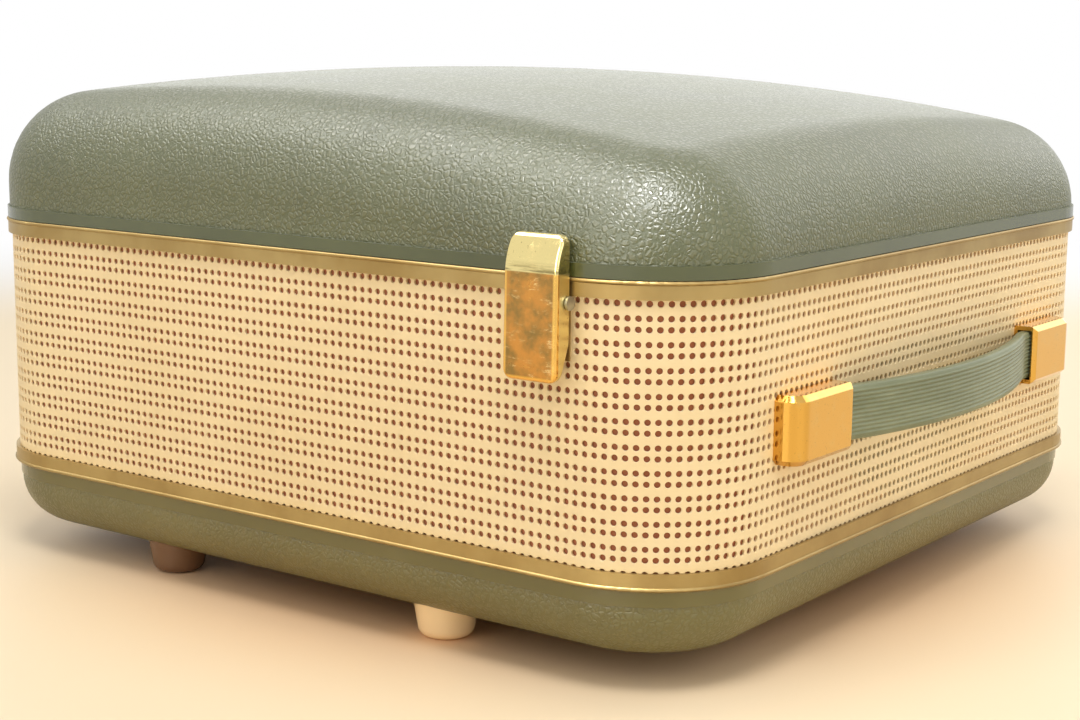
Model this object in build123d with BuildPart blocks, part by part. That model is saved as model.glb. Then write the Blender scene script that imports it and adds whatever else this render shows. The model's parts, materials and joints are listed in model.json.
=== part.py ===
"""Portable record player in a hinged carrying case, shut for carrying.

Millimetres, +Z up. The origin lies on the floor under the middle of the closed player, measured over
its handle and hinges. The handle is on the front (-Y), the catches are on the left and right sides.
Inside: a rim-driven platter, a tonearm, the controls, a valve amplifier and a loudspeaker.
"""

import os
from math import atan, atan2, cos, degrees, radians, sin, sqrt

from build123d import *

os.makedirs("parts", exist_ok=True)

# Case walls
case_width = 386.0
case_depth = 400.0
case_corner = 50.0
base_height = 29.6
base_rim_height = 6.4
base_inset = 0.2
base_step = 0.6
base_edge = 22.0
base_wall = 3.0
band_height = 101.1
band_sheet = 1.0
frame_gap = 0.2
frame_wall = 9.0

# Trims
trim_height = 6.8
trim_proud = 1.8
trim_fit = 0.1
bead_height = 1.6
bead_proud = 0.6
bead_round = 0.75

# Feet
foot_height = 12.7
foot_radius = 13.25
foot_tip_radius = 11.2
foot_round = 4.5
foot_seat = 4.0
foot_side_inset = 26.0
foot_front_inset = 132.0
foot_back_inset = 110.0
foot_boss_radius = 7.0
foot_boss_height = 12.0
screw_radius = 2.0
screw_head_radius = 4.0
screw_head_height = 2.4
screw_slack = 0.15
foot_recess = 5.0

# Lid
lid_gap = 0.3
lid_rim_height = 5.5
lid_step = 1.0
lid_wall = 3.0
lid_edge = 42.0
lid_height = 69.9
lid_crown_back = 44.0
lid_crown_radius = 1250.0
lid_cross_radius = 1820.0

# Hinges
hinge_inset = 88.0
hinge_length = 64.0
hinge_middle = 30.0
hinge_leaf = 1.4
knuckle_radius = 2.6
knuckle_gap = 0.3
hinge_pin_radius = 1.2
hinge_drop = 2.0
hinge_leaf_margin = 0.3
running_gap = 0.05

# Latches
latch_inset = 63.0
latch_width = 24.0
latch_rise = 15.7
latch_height = 54.0
latch_crown_reach = 6.6
latch_face_reach = 11.4
latch_face_drop = 9.5
latch_foot_reach = 12.2
latch_rear = 2.9
latch_relief = 14.0
latch_lip = 8.4
latch_back_round = 2.0
latch_crown_round = 2.6
latch_face_round = 25.0
latch_tip_round = 2.0
latch_lip_round = 1.2
latch_relief_round = 8.0
latch_corner = 4.0
latch_edge = 1.2
latch_sheet = 1.4
latch_pivot_reach = 4.5
latch_pivot_drop = 9.2
latch_pin_radius = 1.5
latch_ear = 1.2
latch_ear_radius = 3.0
latch_plate = 1.0
latch_plate_height = 24.0
latch_side_gap = 0.4
rivet_radius = 2.6
rivet_height = 1.0
nose_width = 14.0
nose_height = 2.0
catch_sheet = 0.8
catch_width = 16.0
catch_gap = 0.3

# Handle
handle_rise = 55.1
cap_inset = 80.0
cap_length = 44.0
cap_height = 27.0
cap_depth = 11.0
cap_round = 8.0
cap_bevel = 2.2
cap_mouth_bevel = 1.8
cap_slot_depth = 31.0
strap_width = 22.0
strap_thickness = 5.0
strap_seat = 5.2
strap_reach = 21.5
strap_bend = 30.0
strap_ribs = 12
strap_groove = 0.5
strap_slack = 0.5
handle_screw_spread = 14.0
handle_screw_inset = 7.0
handle_screw_bite = 7.0

# Deck
deck_drop = 22.0
board_thickness = 9.0
board_gap = 0.4
cleat_height = 30.0
cleat_size = 58.0
deck_sheet = 2.0
deck_side_margin = 28.0
deck_front_margin = 70.0
deck_back_margin = 40.0
deck_corner = 18.0
deck_screw_inset = 12.0

# Platter and spindle
platter_side_inset = 163.0
platter_back_inset = 190.0
platter_radius = 125.0
platter_rim = 5.0
platter_web = 3.0
platter_height = 18.5
platter_lift = 2.5
platter_round = 2.0
hub_radius = 16.0
bush_wall = 3.0
bush_fit = 0.1
mat_thickness = 2.5
mat_edge = 4.0
mat_hole = 10.0
mat_label_radius = 50.0
mat_step = 0.8
mat_groove = 2.0
journal_radius = 5.0
spindle_post_radius = 9.0
spindle_post_height = 5.0
spindle_flange_radius = 15.0
spindle_flange = 3.0
thrust_gap = 0.2
record_pin_radius = 3.575
record_pin_height = 12.0
record_pin_dome = 2.5
record_thickness = 2.0

# Rim drive
drive_angle = 225.0
idler_radius = 22.0
tyre_depth = 3.0
idler_width = 5.0
idler_lift = 6.5
idler_axle_radius = 2.0
idler_hub_radius = 5.0
idler_hub_margin = 1.2
bracket_lift = 2.0
bracket_sheet = 2.0
bracket_width = 12.0
bracket_length = 42.0
drive_gap = 0.3
pulley_radius = 5.0
pulley_slow_radius = 3.7
pulley_fast_radius = 6.8
pulley_step_height = 4.0
motor_shaft_radius = 2.0
shaft_hole_radius = 9.0
motor_width = 74.0
motor_depth = 62.0
motor_stack = 18.0
motor_corner = 6.0
motor_mount_height = 18.0
motor_mount_radius = 5.0
motor_mount_inset = 8.0
motor_clearance = 4.0
rotor_radius = 15.0
rotor_gap = 0.5
bridge_sheet = 3.0
bridge_boss = 3.0
bridge_width = 16.0
bridge_boss_radius = 6.0
coil_width = 40.0
coil_depth = 16.0
coil_overhang = 4.0

# Tonearm
arm_side_inset = 58.0
arm_back_inset = 95.0
arm_length = 203.0
arm_base_radius = 20.0
arm_base_flange = 4.0
arm_post_radius = 15.0
arm_post_height = 15.0
arm_pin_radius = 5.0
yoke_radius = 14.0
yoke_floor = 3.7
yoke_gap = 0.3
yoke_ear = 2.5
yoke_ear_depth = 14.0
arm_width = 19.6
arm_neck_width = 12.0
arm_height = 10.0
arm_wall = 1.6
arm_round = 2.5
arm_tail = 28.0
arm_side_gap = 0.7
arm_pivot_radius = 1.5
head_length = 50.0
head_width = 24.0
head_height = 9.0
head_overhang = 19.0
head_wall = 1.5
finger_length = 14.0
finger_width = 9.0
finger_sheet = 2.0
cartridge_width = 15.0
cartridge_length = 24.0
cartridge_height = 11.0
stylus_length = 4.0
stylus_radius = 1.2
weight_radius = 10.0
weight_length = 22.0
rest_distance = 120.0
rest_width = 25.0
rest_depth = 8.0
rest_height = 4.0
rest_lip = 5.5
rest_lip_width = 2.5
rest_post_radius = 4.0
rest_foot_radius = 8.0
rest_foot = 3.0
rest_gap = 0.3

# Controls
volume_inset = 145.0
tone_inset = 85.0
knob_front_inset = 42.0
knob_radius = 14.0
knob_top_radius = 12.0
knob_height = 16.0
knob_skirt = 4.0
knob_gap = 1.0
knob_dish = 1.5
knob_flutes = 16
flute_radius = 1.6
stem_radius = 3.0
stem_length = 14.0
control_radius = 12.0
control_height = 10.0
control_bush_radius = 4.5
control_hole_slack = 0.3
lever_side_inset = 58.0
lever_front_inset = 92.0
lever_length = 26.0
lever_width = 9.0
lever_sheet = 2.5
lever_lift = 1.0
lever_boss_radius = 8.0
lever_pin_radius = 2.5
lever_tip_height = 9.0
lever_tip_radius = 3.5

# Amplifier and loudspeaker
chassis_side_inset = 38.0
chassis_back_inset = 85.0
chassis_width = 130.0
chassis_depth = 150.0
chassis_height = 30.0
chassis_sheet = 1.5
mains_core_offset = (32.0, 42.0)
mains_core_size = (52.0, 44.0)
mains_core_height = 48.0
output_core_offset = (34.0, -22.0)
output_core_size = (36.0, 30.0)
output_core_height = 30.0
core_window = 0.36
core_bobbin = 5.0
valve_offsets = ((-32.0, 44.0), (-32.0, -4.0))
valve_radius = 10.5
valve_height = 50.0
valve_base_radius = 12.0
valve_base = 6.0
speaker_rise = 42.2
speaker_half_width = 75.0
speaker_half_height = 35.0
speaker_flange = 6.0
speaker_flange_sheet = 2.0
speaker_depth = 36.0
speaker_neck = 27.0
speaker_sheet = 1.5
cone_fit = 0.3
cone_depth = 26.0
cone_neck = 13.0
cone_sheet = 1.2
magnet_radius = 30.0
magnet_height = 18.0
gland_inset = 73.0
gland_rise = 27.7
gland_bore = 3.6
gland_radius = 6.5
gland_flange_radius = 9.0
gland_flange = 2.0
gland_slack = 0.1

# Heights above the floor
base_rim_z = foot_height + base_height - base_rim_height
base_top_z = foot_height + base_height
band_low_z = base_top_z + bead_height
case_top_z = base_top_z + 2 * trim_height + band_height
band_high_z = case_top_z - bead_height
upper_trim_z = case_top_z - trim_height
lid_low_z = case_top_z + lid_gap
lid_crown_z = case_top_z + lid_height
lid_rim_z = case_top_z + lid_rim_height
base_floor_z = foot_height + base_wall
board_top_z = case_top_z - deck_drop
board_low_z = board_top_z - board_thickness
deck_top_z = board_top_z + deck_sheet
platter_low_z = deck_top_z + platter_lift
platter_top_z = platter_low_z + platter_height
mat_top_z = platter_top_z + mat_thickness
record_top_z = mat_top_z + record_thickness

latch_top_z = case_top_z + latch_rise
latch_foot_z = latch_top_z - latch_height
latch_pivot_z = case_top_z - latch_pivot_drop
handle_z = base_top_z + handle_rise
speaker_z = base_top_z + speaker_rise
gland_z = base_top_z + gland_rise

# Distances in plan, as insets from the band's outer face
bead_reach = trim_proud + bead_proud
frame_inset = band_sheet + frame_gap
frame_inner = frame_inset + frame_wall
hinge_axis_reach = trim_proud + knuckle_gap + knuckle_radius
hinge_reach = hinge_axis_reach + knuckle_radius
hinge_place = case_width / 2 - hinge_inset

# The player stands with its handle and hinges evenly about the origin
case_y = (strap_reach - hinge_reach) / 2
latch_y = latch_inset - case_depth / 2
cap_place = case_width / 2 - cap_inset
front_y = case_y - case_depth / 2
back_y = case_y + case_depth / 2

UP = (0, 0, 1)

# Places in plan, from the middle of the case
right_x = case_width / 2
rear_y = case_depth / 2
platter_place = (platter_side_inset - right_x, rear_y - platter_back_inset)
arm_place = (right_x - arm_side_inset, rear_y - arm_back_inset)
volume_place = (right_x - volume_inset, knob_front_inset - rear_y)
tone_place = (right_x - tone_inset, knob_front_inset - rear_y)
lever_place = (lever_side_inset - right_x, lever_front_inset - rear_y)
chassis_place = (
    right_x - chassis_side_inset - chassis_width / 2,
    rear_y - chassis_back_inset - chassis_depth / 2,
)
mains_core_place = (chassis_place[0] + mains_core_offset[0], chassis_place[1] + mains_core_offset[1])
output_core_place = (chassis_place[0] + output_core_offset[0], chassis_place[1] + output_core_offset[1])
valve_places = [(chassis_place[0] + across, chassis_place[1] + along) for across, along in valve_offsets]
gland_place = right_x - gland_inset


def level(z):
    """The horizontal plane at height z, centred on the case."""
    return Plane((0, case_y, z))


def inward(depth, x, z):
    """An upright plane inside the front wall, facing into the case."""
    return Plane((x, front_y + depth, z), x_dir=(1, 0, 0), z_dir=(0, 1, 0))


def side(sign, y):
    """An upright plane across a side wall: x is the reach out of the wall, y the height."""
    origin = (sign * case_width / 2, case_y + y, 0)
    return Plane(origin, x_dir=(sign, 0, 0), z_dir=(0, -sign, 0))


def plan(inset):
    """Width, depth and corner radius of the case outline, inset from the band's face."""
    return case_width - 2 * inset, case_depth - 2 * inset, case_corner - inset


def ring(z, height, outer, inner):
    """Add an upright wall that follows the case outline between two insets."""
    with BuildSketch(level(z)) as outline:
        RectangleRounded(*plan(outer))
        RectangleRounded(*plan(inner), mode=Mode.SUBTRACT)
    extrude(outline.sketch, amount=height)


def disc(places, z, height, radius, mode=Mode.ADD):
    """Add or cut upright round bars at places in plan."""
    with BuildSketch(level(z)) as outline:
        with Locations(*places):
            Circle(radius)
    extrude(outline.sketch, amount=height, mode=mode)


def block(place, z, size, height, corner=0.0, mode=Mode.ADD):
    """Add or cut an upright block, with rounded corners if a radius is given."""
    with BuildSketch(level(z)) as outline:
        with Locations(place):
            if corner:
                RectangleRounded(*size, corner)
            else:
                Rectangle(*size)
    extrude(outline.sketch, amount=height, mode=mode)


def turned(place, points, mode=Mode.ADD):
    """Add a turned body: (radius, height) points about the upright line at a place in plan."""
    centre = (place[0], case_y + place[1], 0)
    with BuildSketch(Plane(centre, x_dir=(1, 0, 0), z_dir=(0, -1, 0))) as half:
        with BuildLine():
            Polyline(*points, close=True)
        make_face()
    revolve(half.sketch, axis=Axis(centre, UP), mode=mode)


def polar(place, distance, angle):
    """The point at a distance and angle from a place in plan."""
    turn = radians(angle)
    return place[0] + distance * cos(turn), place[1] + distance * sin(turn)


# Base tray: moulded, with a rounded lower edge, a smooth rim and bosses for the feet
foot_side = case_width / 2 - foot_side_inset
foot_rows = (foot_front_inset - case_depth / 2, case_depth / 2 - foot_back_inset)
foot_places = [(across, along) for across in (-foot_side, foot_side) for along in foot_rows]

with BuildPart() as base_form:
    with BuildSketch(level(foot_height)):
        RectangleRounded(*plan(base_inset + base_step))
    extrude(amount=base_height - base_rim_height)
    fillet(base_form.edges().group_by(Axis.Z)[0], base_edge)

with BuildPart() as base_cavity:
    with BuildSketch(level(base_floor_z)):
        RectangleRounded(*plan(base_inset + base_step + base_wall))
    extrude(amount=base_height)
    fillet(base_cavity.edges().group_by(Axis.Z)[0], base_edge - base_wall)

with BuildPart() as base_tray:
    add(base_form.part)
    with BuildSketch(level(base_rim_z)):
        RectangleRounded(*plan(base_inset))
    extrude(amount=base_rim_height)
    add(base_cavity.part, mode=Mode.SUBTRACT)
    disc(foot_places, base_floor_z, foot_boss_height, foot_boss_radius)
    disc(foot_places, foot_height, foot_boss_height, screw_radius + screw_slack, mode=Mode.SUBTRACT)
base_tray.part.label = "base_tray"
export_step(base_tray.part, "parts/base_tray.step")

# Feet: tapered, shaped at the top to the curve of the base
foot_taper = degrees(atan((foot_radius - foot_tip_radius) / foot_height))
with BuildPart() as feet:
    with BuildSketch(level(0)):
        with Locations(*foot_places):
            Circle(foot_tip_radius)
    extrude(amount=foot_height + foot_seat, taper=-foot_taper)
    fillet(feet.edges().group_by(Axis.Z)[0], foot_round)
    disc(foot_places, 0, foot_recess, screw_head_radius + screw_slack, mode=Mode.SUBTRACT)
    disc(foot_places, 0, foot_height, screw_radius + screw_slack, mode=Mode.SUBTRACT)
    add(base_form.part, mode=Mode.SUBTRACT)
feet.part.label = "feet"
export_step(feet.part, "parts/feet.step")

with BuildPart() as foot_screws:
    disc(foot_places, foot_recess - screw_head_height, screw_head_height, screw_head_radius)
    shank = foot_height - foot_recess + foot_boss_height - screw_head_height
    disc(foot_places, foot_recess, shank, screw_radius)
foot_screws.part.label = "foot_screws"
export_step(foot_screws.part, "parts/foot_screws.step")


# Trims: angle sections, a web over the edge of the wall and a bright bead along the parting
def trim(bead_z, flange_z):
    """Add one trim: a web with a rounded bead outside, and a flange over the band."""
    with BuildSketch(level(bead_z)) as web:
        RectangleRounded(*plan(-bead_reach))
        RectangleRounded(*plan(frame_inner), mode=Mode.SUBTRACT)
    body = extrude(web.sketch, amount=bead_height)
    flats = body.faces().filter_by(Axis.Z)
    fillet([edge for flat in flats for edge in flat.outer_wire().edges()], bead_round)
    ring(flange_z, trim_height, -trim_proud, -trim_fit)


with BuildPart() as lower_trim:
    trim(base_top_z, base_top_z)
lower_trim.part.label = "lower_trim"
export_step(lower_trim.part, "parts/lower_trim.step")

hinge_places = [(-hinge_place, case_depth / 2), (hinge_place, case_depth / 2)]
hinge_notch = (hinge_length + 2 * knuckle_gap, 2 * hinge_reach)
with BuildPart() as upper_trim:
    trim(band_high_z, upper_trim_z)
    for across, along in hinge_places:
        notch_middle = (across, along + trim_proud + hinge_reach)
        block(notch_middle, upper_trim_z, hinge_notch, trim_height, mode=Mode.SUBTRACT)
upper_trim.part.label = "upper_trim"
export_step(upper_trim.part, "parts/upper_trim.step")

# Handle screws come from inside, through the wall and into the solid ends of the caps
cap_end = cap_place + cap_length / 2
cap_mouth = cap_place - cap_length / 2
handle_screw_places = [
    (sign * (cap_end - handle_screw_inset), rise)
    for sign in (-1, 1)
    for rise in (-handle_screw_spread / 2, handle_screw_spread / 2)
]


def front_bars(depth, length, radius, mode=Mode.ADD):
    """Add or cut round bars through the front wall at the handle screws."""
    with BuildSketch(inward(depth, 0, handle_z)) as outline:
        with Locations(*handle_screw_places):
            Circle(radius)
    extrude(outline.sketch, amount=length, mode=mode)


def gland_bar(depth, length, radius, mode=Mode.ADD):
    """Add or cut a round bar through the back wall at the mains gland, depth inside the band's face."""
    plane = Plane((gland_place, back_y - depth, gland_z), x_dir=(1, 0, 0), z_dir=(0, 1, 0))
    with BuildSketch(plane) as outline:
        Circle(radius)
    extrude(outline.sketch, amount=length, mode=mode)


# Perforated band: the plain sheet, with the holes that its fastenings need
with BuildPart() as perforated_band:
    ring(band_low_z, band_high_z - band_low_z, 0, band_sheet)
    front_bars(-band_sheet, 3 * band_sheet, screw_radius + screw_slack, mode=Mode.SUBTRACT)
    gland_bar(2 * band_sheet, 3 * band_sheet, gland_radius + gland_slack, mode=Mode.SUBTRACT)
perforated_band.part.label = "perforated_band"
export_step(perforated_band.part, "parts/perforated_band.step")

# Case frame: the board behind the band, with the loudspeaker's opening in its front
with BuildPart() as case_frame:
    ring(band_low_z, band_high_z - band_low_z, frame_inset, frame_inner)
    with BuildSketch(inward(0, 0, speaker_z)):
        Ellipse(speaker_half_width, speaker_half_height)
    extrude(amount=2 * frame_inner, mode=Mode.SUBTRACT)
    front_bars(0, 2 * frame_inner, screw_radius + screw_slack, mode=Mode.SUBTRACT)
    gland_bar(2 * frame_inner, 2 * frame_inner, gland_radius + gland_slack, mode=Mode.SUBTRACT)
case_frame.part.label = "case_frame"
export_step(case_frame.part, "parts/case_frame.step")

# Corner cleats carry the motor board
with BuildPart() as corner_cleats:
    with BuildSketch(level(board_low_z - cleat_height)):
        RectangleRounded(*plan(frame_inner + frame_gap))
        Rectangle(case_width, case_depth - 2 * cleat_size, mode=Mode.SUBTRACT)
        Rectangle(case_width - 2 * cleat_size, case_depth, mode=Mode.SUBTRACT)
    extrude(amount=cleat_height)
corner_cleats.part.label = "corner_cleats"
export_step(corner_cleats.part, "parts/corner_cleats.step")

# Places of the rim drive, in line from the platter's rim inwards
inner_rim = platter_radius - platter_rim
idler_place = polar(platter_place, inner_rim - idler_radius - drive_gap, drive_angle)
pulley_distance = inner_rim - 2 * idler_radius - pulley_radius - 2 * drive_gap
motor_place = polar(platter_place, pulley_distance, drive_angle)
motor_clear_radius = sqrt(motor_width**2 + motor_depth**2) / 2 + motor_clearance

# Motor board: rests on the cleats, open over the motor
with BuildPart() as motor_board:
    with BuildSketch(level(board_low_z)):
        RectangleRounded(*plan(frame_inner + board_gap))
        with Locations(motor_place):
            Circle(motor_clear_radius, mode=Mode.SUBTRACT)
        with Locations(volume_place, tone_place):
            Circle(control_bush_radius + control_hole_slack, mode=Mode.SUBTRACT)
        with Locations(lever_place):
            Circle(lever_pin_radius + control_hole_slack, mode=Mode.SUBTRACT)
    extrude(amount=board_thickness)
motor_board.part.label = "motor_board"
export_step(motor_board.part, "parts/motor_board.step")

# Deck plate: pressed steel over the board
deck_width = case_width - 2 * deck_side_margin
deck_depth = case_depth - deck_front_margin - deck_back_margin
deck_back = (deck_front_margin - deck_back_margin) / 2
deck_screw_places = [
    (sign_x * (deck_width / 2 - deck_screw_inset), deck_back + sign_y * (deck_depth / 2 - deck_screw_inset))
    for sign_x in (-1, 1)
    for sign_y in (-1, 1)
]
with BuildPart() as deck_plate:
    with BuildSketch(level(board_top_z)):
        with Locations((0, deck_back)):
            RectangleRounded(deck_width, deck_depth, deck_corner)
        with Locations(motor_place):
            Circle(shaft_hole_radius, mode=Mode.SUBTRACT)
        with Locations(lever_place):
            Circle(lever_pin_radius + running_gap, mode=Mode.SUBTRACT)
    extrude(amount=deck_sheet)
    top = deck_plate.faces().sort_by(Axis.Z)[-1]
    fillet(top.outer_wire().edges(), deck_sheet / 2)
deck_plate.part.label = "deck_plate"
export_step(deck_plate.part, "parts/deck_plate.step")

with BuildPart() as deck_screws:
    disc(deck_screw_places, deck_top_z, screw_head_height, screw_head_radius)
    fillet(deck_screws.edges().group_by(Axis.Z)[-1], screw_head_height / 2)
deck_screws.part.label = "deck_screws"
export_step(deck_screws.part, "parts/deck_screws.step")

# Spindle: a flanged post on the deck, the platter's journal and the record pin
shoulder_z = deck_top_z + spindle_post_height
pin_low_z = mat_top_z - mat_step
pin_high_z = pin_low_z + record_pin_height
with BuildPart() as spindle:
    turned(platter_place, [
        (0, deck_top_z),
        (spindle_flange_radius, deck_top_z),
        (spindle_flange_radius, deck_top_z + spindle_flange),
        (spindle_post_radius, deck_top_z + spindle_flange),
        (spindle_post_radius, shoulder_z),
        (journal_radius, shoulder_z),
        (journal_radius, pin_low_z),
        (record_pin_radius, pin_low_z),
        (record_pin_radius, pin_high_z),
        (record_pin_radius / 3, pin_high_z + record_pin_dome),
        (0, pin_high_z + record_pin_dome),
    ])
spindle.part.label = "spindle"
export_step(spindle.part, "parts/spindle.step")

# Platter: a turned dish whose inner rim is driven
hub_low_z = shoulder_z + thrust_gap
bush_bore = journal_radius + running_gap
bush_outer = bush_bore + bush_wall
web_low_z = platter_top_z - platter_web
with BuildPart() as platter:
    turned(platter_place, [
        (bush_outer + bush_fit, hub_low_z),
        (hub_radius, hub_low_z),
        (hub_radius, web_low_z),
        (inner_rim, web_low_z),
        (inner_rim, platter_low_z),
        (platter_radius, platter_low_z),
        (platter_radius, platter_top_z - platter_round),
        (platter_radius - platter_round, platter_top_z),
        (bush_outer + bush_fit, platter_top_z),
    ])
platter.part.label = "platter"
export_step(platter.part, "parts/platter.step")

with BuildPart() as platter_bush:
    turned(platter_place, [
        (bush_bore, hub_low_z),
        (bush_outer, hub_low_z),
        (bush_outer, platter_top_z),
        (bush_bore, platter_top_z),
    ])
platter_bush.part.label = "platter_bush"
export_step(platter_bush.part, "parts/platter_bush.step")

# Mat: ribbed rubber, stepped down under the record's label
mat_radius = platter_radius - mat_edge
mat_ridge = (mat_radius - mat_label_radius) / 4
with BuildPart() as platter_mat:
    turned(platter_place, [
        (mat_hole, platter_top_z),
        (mat_radius, platter_top_z),
        (mat_radius, mat_top_z),
        (mat_label_radius, mat_top_z),
        (mat_label_radius, mat_top_z - mat_step),
        (mat_hole, mat_top_z - mat_step),
    ])
    for ridge in (1, 2, 3):
        groove_radius = mat_label_radius + ridge * mat_ridge
        turned(platter_place, [
            (groove_radius - mat_groove, mat_top_z - mat_step),
            (groove_radius, mat_top_z - mat_step),
            (groove_radius, mat_top_z),
            (groove_radius - mat_groove, mat_top_z),
        ], mode=Mode.SUBTRACT)
platter_mat.part.label = "platter_mat"
export_step(platter_mat.part, "parts/platter_mat.step")

# Idler: a wheel with a rubber tyre, on a bracket that stands on the deck
bracket_low_z = deck_top_z + bracket_lift
bracket_top_z = bracket_low_z + bracket_sheet
idler_low_z = deck_top_z + idler_lift
idler_top_z = idler_low_z + idler_width
idler_hub_low_z = bracket_top_z + knuckle_gap
idler_hub_top_z = idler_top_z + idler_hub_margin
idler_bore = idler_axle_radius + running_gap
wheel_radius = idler_radius - tyre_depth
bracket_foot = polar(idler_place, bracket_length, drive_angle + 90)
with BuildPart() as idler_bracket:
    middle = polar(idler_place, bracket_length / 2, drive_angle + 90)
    with BuildSketch(level(bracket_low_z)):
        with Locations(Location(middle, drive_angle + 90)):
            SlotCenterToCenter(bracket_length, bracket_width)
    extrude(amount=bracket_sheet)
    disc([bracket_foot], deck_top_z, bracket_lift, bracket_width / 2)
    disc([idler_place], bracket_top_z, idler_hub_top_z - bracket_top_z, idler_axle_radius)
idler_bracket.part.label = "idler_bracket"
export_step(idler_bracket.part, "parts/idler_bracket.step")

with BuildPart() as idler_wheel:
    turned(idler_place, [
        (idler_bore, idler_hub_low_z),
        (idler_hub_radius, idler_hub_low_z),
        (idler_hub_radius, idler_low_z),
        (wheel_radius, idler_low_z),
        (wheel_radius, idler_top_z),
        (idler_hub_radius, idler_top_z),
        (idler_hub_radius, idler_hub_top_z),
        (idler_bore, idler_hub_top_z),
    ])
idler_wheel.part.label = "idler_wheel"
export_step(idler_wheel.part, "parts/idler_wheel.step")

with BuildPart() as idler_tyre:
    turned(idler_place, [
        (wheel_radius + trim_fit, idler_low_z),
        (idler_radius, idler_low_z),
        (idler_radius, idler_top_z),
        (wheel_radius + trim_fit, idler_top_z),
    ])
idler_tyre.part.label = "idler_tyre"
export_step(idler_tyre.part, "parts/idler_tyre.step")

# Motor: a laminated stack with its coil, hung from the deck on rubber mounts
motor_top_z = board_top_z - motor_mount_height
motor_low_z = motor_top_z - motor_stack
with BuildPart() as motor_laminations:
    block(motor_place, motor_low_z, (motor_width, motor_depth), motor_stack, motor_corner)
    disc([motor_place], motor_low_z, motor_stack, rotor_radius + rotor_gap, mode=Mode.SUBTRACT)
motor_laminations.part.label = "motor_laminations"
export_step(motor_laminations.part, "parts/motor_laminations.step")

coil_place = (motor_place[0], motor_place[1] - (motor_depth + coil_depth) / 2)
with BuildPart() as motor_coil:
    coil_low_z = motor_low_z - coil_overhang
    block(coil_place, coil_low_z, (coil_width, coil_depth), motor_stack + 2 * coil_overhang)
    fillet(motor_coil.edges().filter_by(Axis.Y), coil_overhang)
motor_coil.part.label = "motor_coil"
export_step(motor_coil.part, "parts/motor_coil.step")

shaft_bore = motor_shaft_radius + running_gap
with BuildPart() as motor_bridges:
    for bridge_z, boss_z in (
        (motor_top_z, motor_top_z + bridge_sheet),
        (motor_low_z - bridge_sheet, motor_low_z - bridge_sheet - bridge_boss),
    ):
        with BuildSketch(level(bridge_z)):
            with Locations(motor_place):
                SlotOverall(motor_width, bridge_width)
        extrude(amount=bridge_sheet)
        disc([motor_place], boss_z, bridge_boss, bridge_boss_radius)
    bridge_low_z = motor_low_z - bridge_sheet - bridge_boss
    bridge_span = motor_stack + 2 * (bridge_sheet + bridge_boss)
    disc([motor_place], bridge_low_z, bridge_span, shaft_bore, mode=Mode.SUBTRACT)
motor_bridges.part.label = "motor_bridges"
export_step(motor_bridges.part, "parts/motor_bridges.step")

mount_across = motor_width / 2 - motor_mount_inset
mount_along = motor_depth / 2 - motor_mount_inset
motor_mount_places = [
    (motor_place[0] + across, motor_place[1] + along)
    for across, along in ((-mount_across, mount_along), (mount_across, mount_along), (0, -mount_along))
]
with BuildPart() as motor_mounts:
    disc(motor_mount_places, motor_top_z, motor_mount_height, motor_mount_radius)
motor_mounts.part.label = "motor_mounts"
export_step(motor_mounts.part, "parts/motor_mounts.step")

# Motor shaft: the rotor drum and the stepped pulley that drives the idler
slow_low_z = idler_top_z + drive_gap
fast_top_z = idler_low_z - drive_gap
rotor_end = motor_stack / 2 - rotor_gap
rotor_middle_z = motor_low_z + motor_stack / 2
with BuildPart() as motor_shaft:
    turned(motor_place, [
        (0, bridge_low_z),
        (motor_shaft_radius, bridge_low_z),
        (motor_shaft_radius, rotor_middle_z - rotor_end),
        (rotor_radius, rotor_middle_z - rotor_end),
        (rotor_radius, rotor_middle_z + rotor_end),
        (motor_shaft_radius, rotor_middle_z + rotor_end),
        (motor_shaft_radius, fast_top_z - pulley_step_height),
        (pulley_fast_radius, fast_top_z - pulley_step_height),
        (pulley_fast_radius, fast_top_z),
        (pulley_radius, fast_top_z),
        (pulley_radius, slow_low_z),
        (pulley_slow_radius, slow_low_z),
        (pulley_slow_radius, slow_low_z + pulley_step_height),
        (0, slow_low_z + pulley_step_height),
    ])
motor_shaft.part.label = "motor_shaft"
export_step(motor_shaft.part, "parts/motor_shaft.step")

# Tonearm base: a turned post with a bore for the yoke's pin
arm_post_z = deck_top_z + arm_post_height
pin_floor_z = deck_top_z + arm_base_flange
arm_bore = arm_pin_radius + running_gap
with BuildPart() as arm_base:
    turned(arm_place, [
        (0, deck_top_z),
        (arm_base_radius, deck_top_z),
        (arm_base_radius, pin_floor_z),
        (arm_post_radius, pin_floor_z),
        (arm_post_radius, arm_post_z),
        (arm_bore, arm_post_z),
        (arm_bore, pin_floor_z),
        (0, pin_floor_z),
    ])
arm_base.part.label = "arm_base"
export_step(arm_base.part, "parts/arm_base.step")

# Heights of the arm follow from the record's surface under the stylus
cartridge_low_z = record_top_z + stylus_length
cartridge_top_z = cartridge_low_z + cartridge_height
head_top_z = cartridge_top_z + head_wall
head_low_z = head_top_z - head_height
arm_top_z = head_top_z
arm_low_z = arm_top_z - arm_height
arm_pivot_z = (arm_top_z + arm_low_z) / 2
yoke_floor_z = arm_post_z + yoke_gap
yoke_floor_top_z = yoke_floor_z + yoke_floor
ear_inner = arm_width / 2 + arm_side_gap
arm_pivot = (arm_place[0], case_y + arm_place[1], arm_pivot_z)
arm_side = Plane(arm_pivot, x_dir=(0, 1, 0), z_dir=(1, 0, 0))


def pivot_bar(radius, reach, mode=Mode.ADD):
    """Add or cut a round bar across the arm at its lifting pivot."""
    with BuildSketch(arm_side) as outline:
        Circle(radius)
    extrude(outline.sketch, amount=reach, both=True, mode=mode)


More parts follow.
